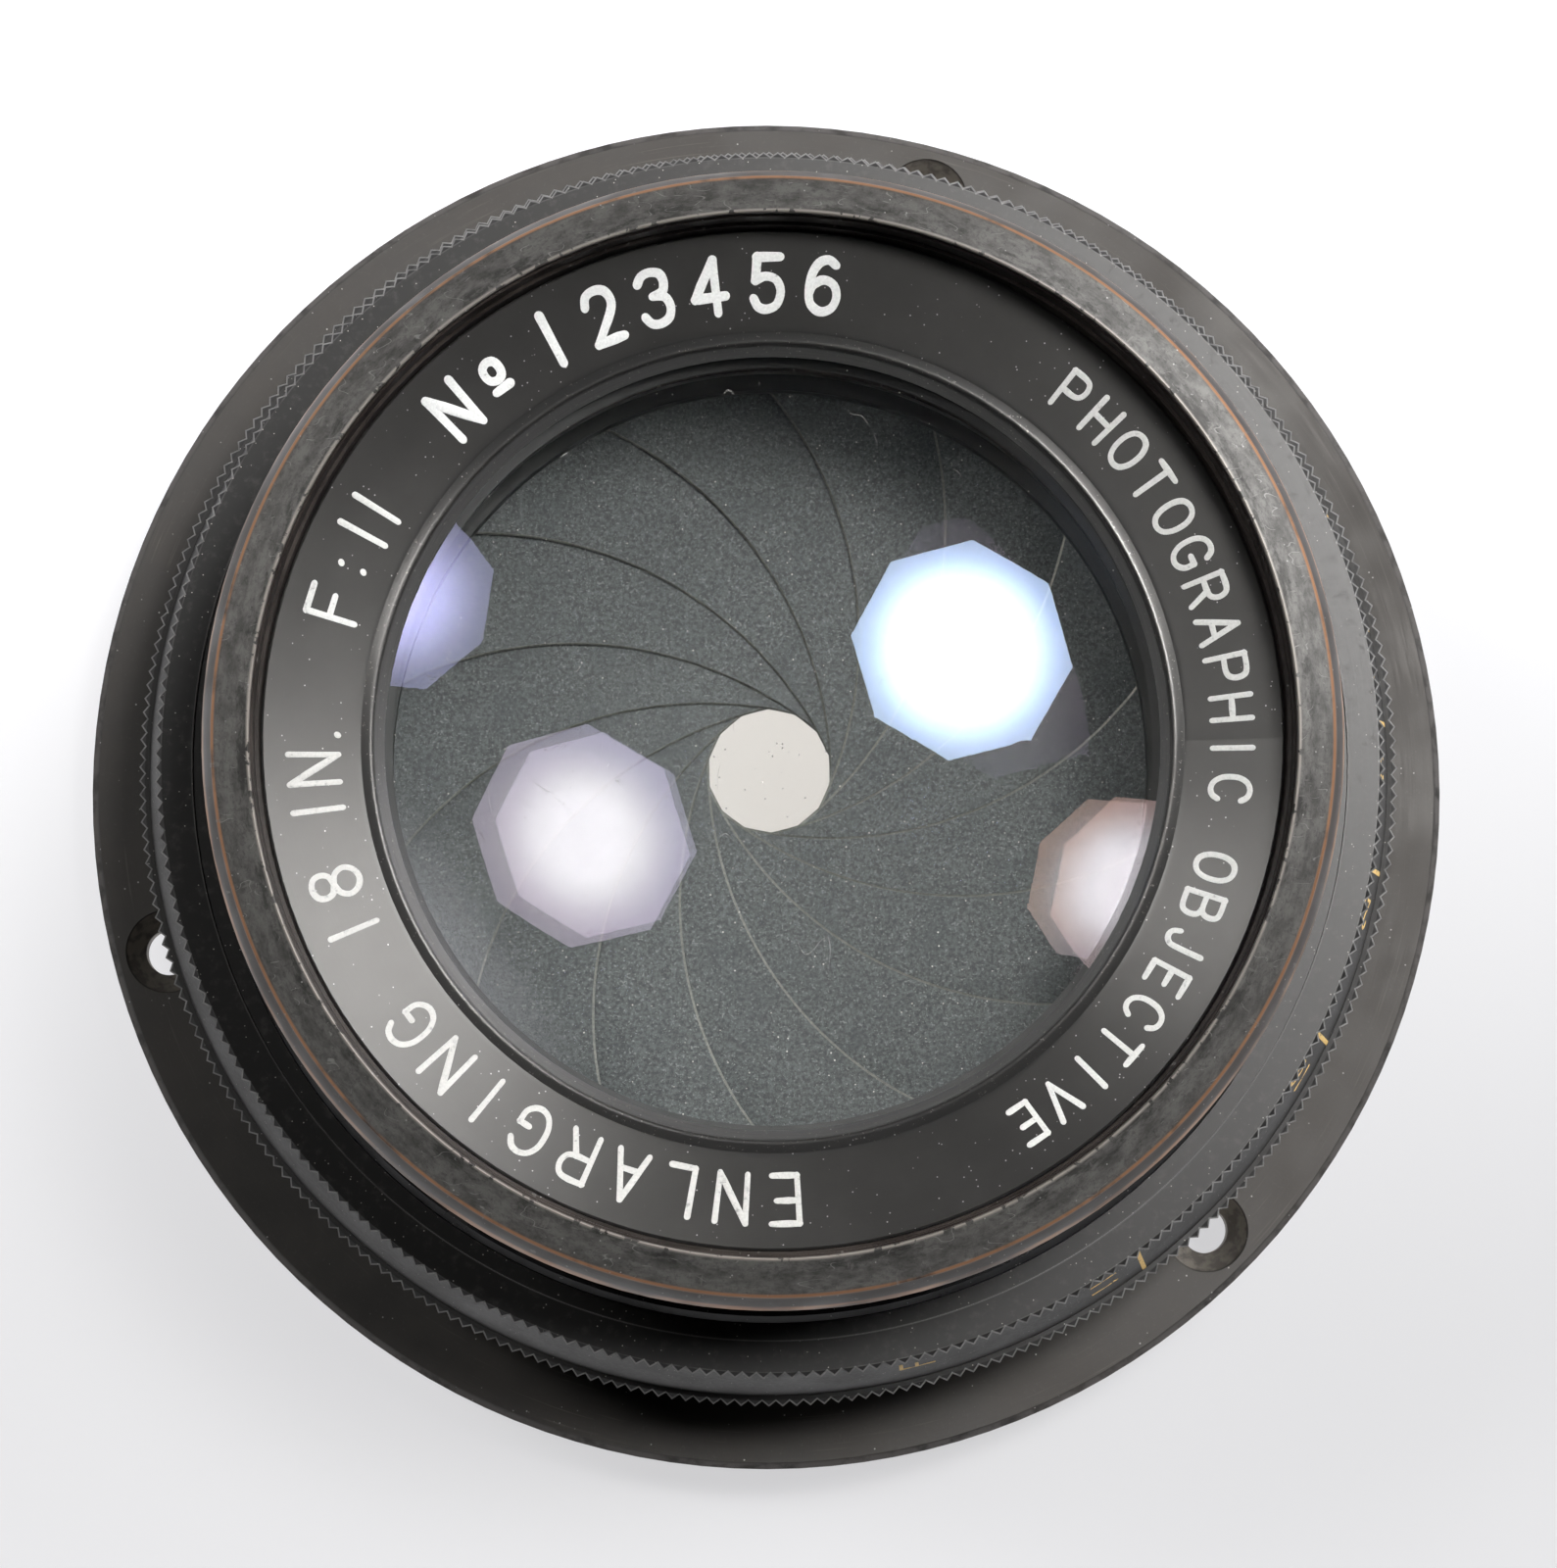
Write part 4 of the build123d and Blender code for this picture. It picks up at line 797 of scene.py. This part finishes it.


# ------------------------------------------------------------------ iris blades
# Each blade is the strip of the CAD model, with the edge that bounds the opening rolled over and given a
# lighter steel, partly worn bright and partly a painted highlight. A section point is (across, up), and the
# edge faces are the first ones round the section.
BLADES = 14
BLADE_HALF_WIDTH = 3.8
BLADE_SPAN = 134.0
BLADE_RISE = 0.027
BLADE_DRIVE_HEIGHT = 18.01
BLADE_FIRST_ANGLE = 9.83
BLADE_SECTION = (
    (-3.8, -0.020),
    (-3.70, 0.016),
    (-3.66, 0.025),
    (0.0, 0.025),
    (3.74, 0.025),
    (3.8, 0.010),
    (3.8, -0.025),
    (-3.8, -0.025),
)
EDGE_FACES = 2
STRIP_STEPS = 90
END_BENDS = (80, 60, 40, 20)
SHARP_EDGE = 0.5


def blade_row(angle, bend):
    """Centre, direction across, share of the full width and angle of one step; bend goes round an end."""
    turn = radians(angle)
    across = Vector((cos(turn), sin(turn), 0))
    along = Vector((-sin(turn), cos(turn), 0))
    centre = across * PIVOT_RADIUS + along * (BLADE_HALF_WIDTH * sin(radians(bend)))
    return centre, across, cos(radians(bend)), angle


drive_end = [blade_row(-BLADE_SPAN, -bend) for bend in END_BENDS]
strip = [blade_row(-BLADE_SPAN + BLADE_SPAN * i / STRIP_STEPS, 0) for i in range(STRIP_STEPS + 1)]
pivot_end = [blade_row(0.0, bend) for bend in reversed(END_BENDS)]
blade_rows = drive_end + strip + pivot_end

pivot = Vector((PIVOT_RADIUS, 0, 0))
swing_in = Matrix.Rotation(radians(-REST_SWING), 4, "Z")
swing = Matrix.Translation(pivot) @ swing_in @ Matrix.Translation(-pivot)
for number in range(BLADES):
    mesh = bmesh.new()
    place = Matrix.Rotation(radians(BLADE_FIRST_ANGLE + number * 360.0 / BLADES), 4, "Z") @ swing
    loops = []
    for centre, across, share, angle in blade_rows:
        height = BLADE_DRIVE_HEIGHT + BLADE_RISE * (angle + BLADE_SPAN)
        spots = [centre + across * (v * share) + Vector((0, 0, height + h)) for v, h in BLADE_SECTION]
        loops.append([mesh.verts.new(place @ spot * MM) for spot in spots])
    for faces in close_tube(mesh, loops):
        for face in faces[:EDGE_FACES]:
            face.material_index = 1
    for edge in mesh.edges:
        two_looks = len({face.material_index for face in edge.link_faces}) > 1
        if two_looks or edge.calc_face_angle(0.0) > SHARP_EDGE:
            edge.smooth = False
    label = f"{number + 1:02d}"
    piece = finish_piece(mesh, "iris_blade_sheet_" + label, looks["blade_steel"], "blade_" + label)
    piece.data.materials.append(blade_edge_and_highlight)
    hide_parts("iris_blade_" + label)


# ------------------------------------------------------------------ floor, light and camera
FLOOR_HEIGHT = -0.00655
FLOOR_RADIUS = 3.0


def stage_mesh(name, mesh, material):
    data = bpy.data.meshes.new(name)
    mesh.to_mesh(data)
    mesh.free()
    thing = bpy.data.objects.new(name, data)
    data.materials.append(material)
    bpy.context.scene.collection.objects.link(thing)
    return thing


# pale paper that glows a little as painted light, most at the back and a little less to the right, with a
# warmer, brighter glow under the glass
s = Surface("floor_paper")
node = s.metal((0.15, 0.15, 0.151), 0.8)
open_floor = s.plus(s.span(s.y, -40.0, 45.0, 0.62, 0.95), s.span(s.x, -25.0, 40.0, 0.02, -0.05))
under_lens = s.span(s.radius, 25.0, 21.0)
glow = s.plus(open_floor, s.times(under_lens, 0.16))
s.link(s.mix(under_lens, (0.985, 0.98, 1.0), (1.0, 0.94, 0.935)), node.inputs["Emission Color"])
s.link(glow, node.inputs["Emission Strength"])
mesh = bmesh.new()
bmesh.ops.create_circle(mesh, cap_ends=True, radius=FLOOR_RADIUS, segments=64)
floor = stage_mesh("floor", mesh, s.material)
floor.location.z = FLOOR_HEIGHT

SOFTBOX_DISTANCE = 1.2
SOFTBOX_AIM = Vector((0, 0, 0.045))


def octagon_towards(name, direction, half_angle, material):
    """An octagonal panel in this direction, facing the lens, unseen by the camera."""
    mesh = bmesh.new()
    reach = SOFTBOX_DISTANCE * tan(radians(half_angle))
    bmesh.ops.create_circle(mesh, cap_ends=True, radius=reach, segments=8)
    box = stage_mesh(name, mesh, material)
    away = Vector(direction).normalized()
    facing = away.to_track_quat("Z", "X").to_matrix().to_4x4()
    box.matrix_world = Matrix.Translation(SOFTBOX_AIM + away * SOFTBOX_DISTANCE) @ facing
    box.visible_camera = False
    return box


def softbox(name, direction, half_angle, strength, inside_strength, one_edge, other_edge):
    """A softbox, brighter in the middle, and a second panel as its image inside the glass, with a fringe."""
    reach_mm = SOFTBOX_DISTANCE / MM * tan(radians(half_angle))
    s = Surface(name)
    shader = s.add("ShaderNodeEmission")
    s.link(s.span(s.radius, 0.0, reach_mm, strength, strength * 0.16), shader.inputs["Strength"])
    s.link(shader.outputs[0], s.output.inputs["Surface"])
    box = octagon_towards(name, direction, half_angle, s.material)
    box.visible_transmission = False
    s = Surface(name + "_inside")
    shader = s.add("ShaderNodeEmission")
    fringe = s.mix(s.span(s.x, -reach_mm, reach_mm), one_edge, other_edge)
    near_edge = s.span(s.radius, reach_mm * 0.45, reach_mm * 0.98)
    s.link(s.mix(near_edge, (1.0, 1.0, 1.0), fringe), shader.inputs["Color"])
    inside_glow = s.span(s.radius, 0.0, reach_mm, inside_strength, inside_strength * 0.33)
    s.link(inside_glow, shader.inputs["Strength"])
    s.link(shader.outputs[0], s.output.inputs["Surface"])
    image = octagon_towards(name + "_inside", direction, half_angle, s.material)
    image.visible_diffuse = False
    image.visible_glossy = False
    image.visible_shadow = False


LEFT_TILT = radians(31.0)
LEFT_TURN = radians(150.0)
LEFT = (sin(LEFT_TILT) * cos(LEFT_TURN), sin(LEFT_TILT) * sin(LEFT_TURN), cos(LEFT_TILT))
RIGHT = (0.248, 0.195, 0.948)
softbox("softbox_right", RIGHT, 8.2, 116.0, 13.0, (0.95, 0.80, 1.0), (0.78, 0.74, 1.0))
softbox("softbox_left", LEFT, 6.9, 60.0, 13.0, (0.80, 0.84, 1.0), (1.0, 0.62, 0.45))

world = bpy.data.worlds.new("studio")
bpy.context.scene.world = world
world.use_nodes = True
tree = world.node_tree
coordinates = tree.nodes.new("ShaderNodeTexCoord")
split = tree.nodes.new("ShaderNodeSeparateXYZ")
tree.links.new(coordinates.outputs["Generated"], split.inputs[0])


def sky_span(value, low, high, to_low, to_high):
    """Strength of the sky, from to_low to to_high as value goes from low to high, eased."""
    node = tree.nodes.new("ShaderNodeMapRange")
    node.interpolation_type = "SMOOTHSTEP"
    for key, number in (("From Min", low), ("From Max", high), ("To Min", to_low), ("To Max", to_high)):
        node.inputs[key].default_value = number
    tree.links.new(value, node.inputs["Value"])
    return node.outputs["Result"]


# a bright wall to the upper right, a dim ceiling, a low glow along the table
WALL = Vector((0.71, 0.50, 0.50)).normalized()
towards_wall = tree.nodes.new("ShaderNodeVectorMath")
towards_wall.operation = "DOT_PRODUCT"
tree.links.new(coordinates.outputs["Generated"], towards_wall.inputs[0])
towards_wall.inputs[1].default_value = WALL
sky = tree.nodes.new("ShaderNodeMath")
sky.operation = "ADD"
tree.links.new(sky_span(split.outputs[2], 0.03, 0.20, 0.25, 0.008), sky.inputs[0])
tree.links.new(sky_span(towards_wall.outputs["Value"], 0.84, 1.0, 0.0, 5.0), sky.inputs[1])
background = tree.nodes["Background"]
background.inputs["Color"].default_value = (0.97, 0.98, 1.0, 1.0)
tree.links.new(sky.outputs[0], background.inputs["Strength"])

# The camera looks down at the flange's front face, a little from the near side
TILT = radians(4.3)
TILT_TURN = radians(8.0)
CAMERA_DISTANCE = 0.413
AIM_RIGHT = 0.76
AIM_UP = 0.5
SENSOR_MM = 36.0
LENS_MM = 143.8425
towards = Vector((-sin(TILT) * sin(TILT_TURN), -sin(TILT) * cos(TILT_TURN), cos(TILT)))
right = Vector((0, 1, 0)).cross(towards).normalized()
up = towards.cross(right)
data = bpy.data.cameras.new("camera")
data.sensor_width = SENSOR_MM
data.lens = LENS_MM
data.clip_start = 0.01
data.clip_end = 50.0
camera = bpy.data.objects.new("camera", data)
bpy.context.scene.collection.objects.link(camera)
aim = Vector((0, 0, FLANGE_FACE)) * MM + (right * AIM_RIGHT + up * AIM_UP) * MM
basis = Matrix((right, up, towards)).transposed().to_4x4()
camera.matrix_world = Matrix.Translation(aim + towards * CAMERA_DISTANCE) @ basis
bpy.context.scene.camera = camera
bpy.context.scene.view_settings.view_transform = "Standard"
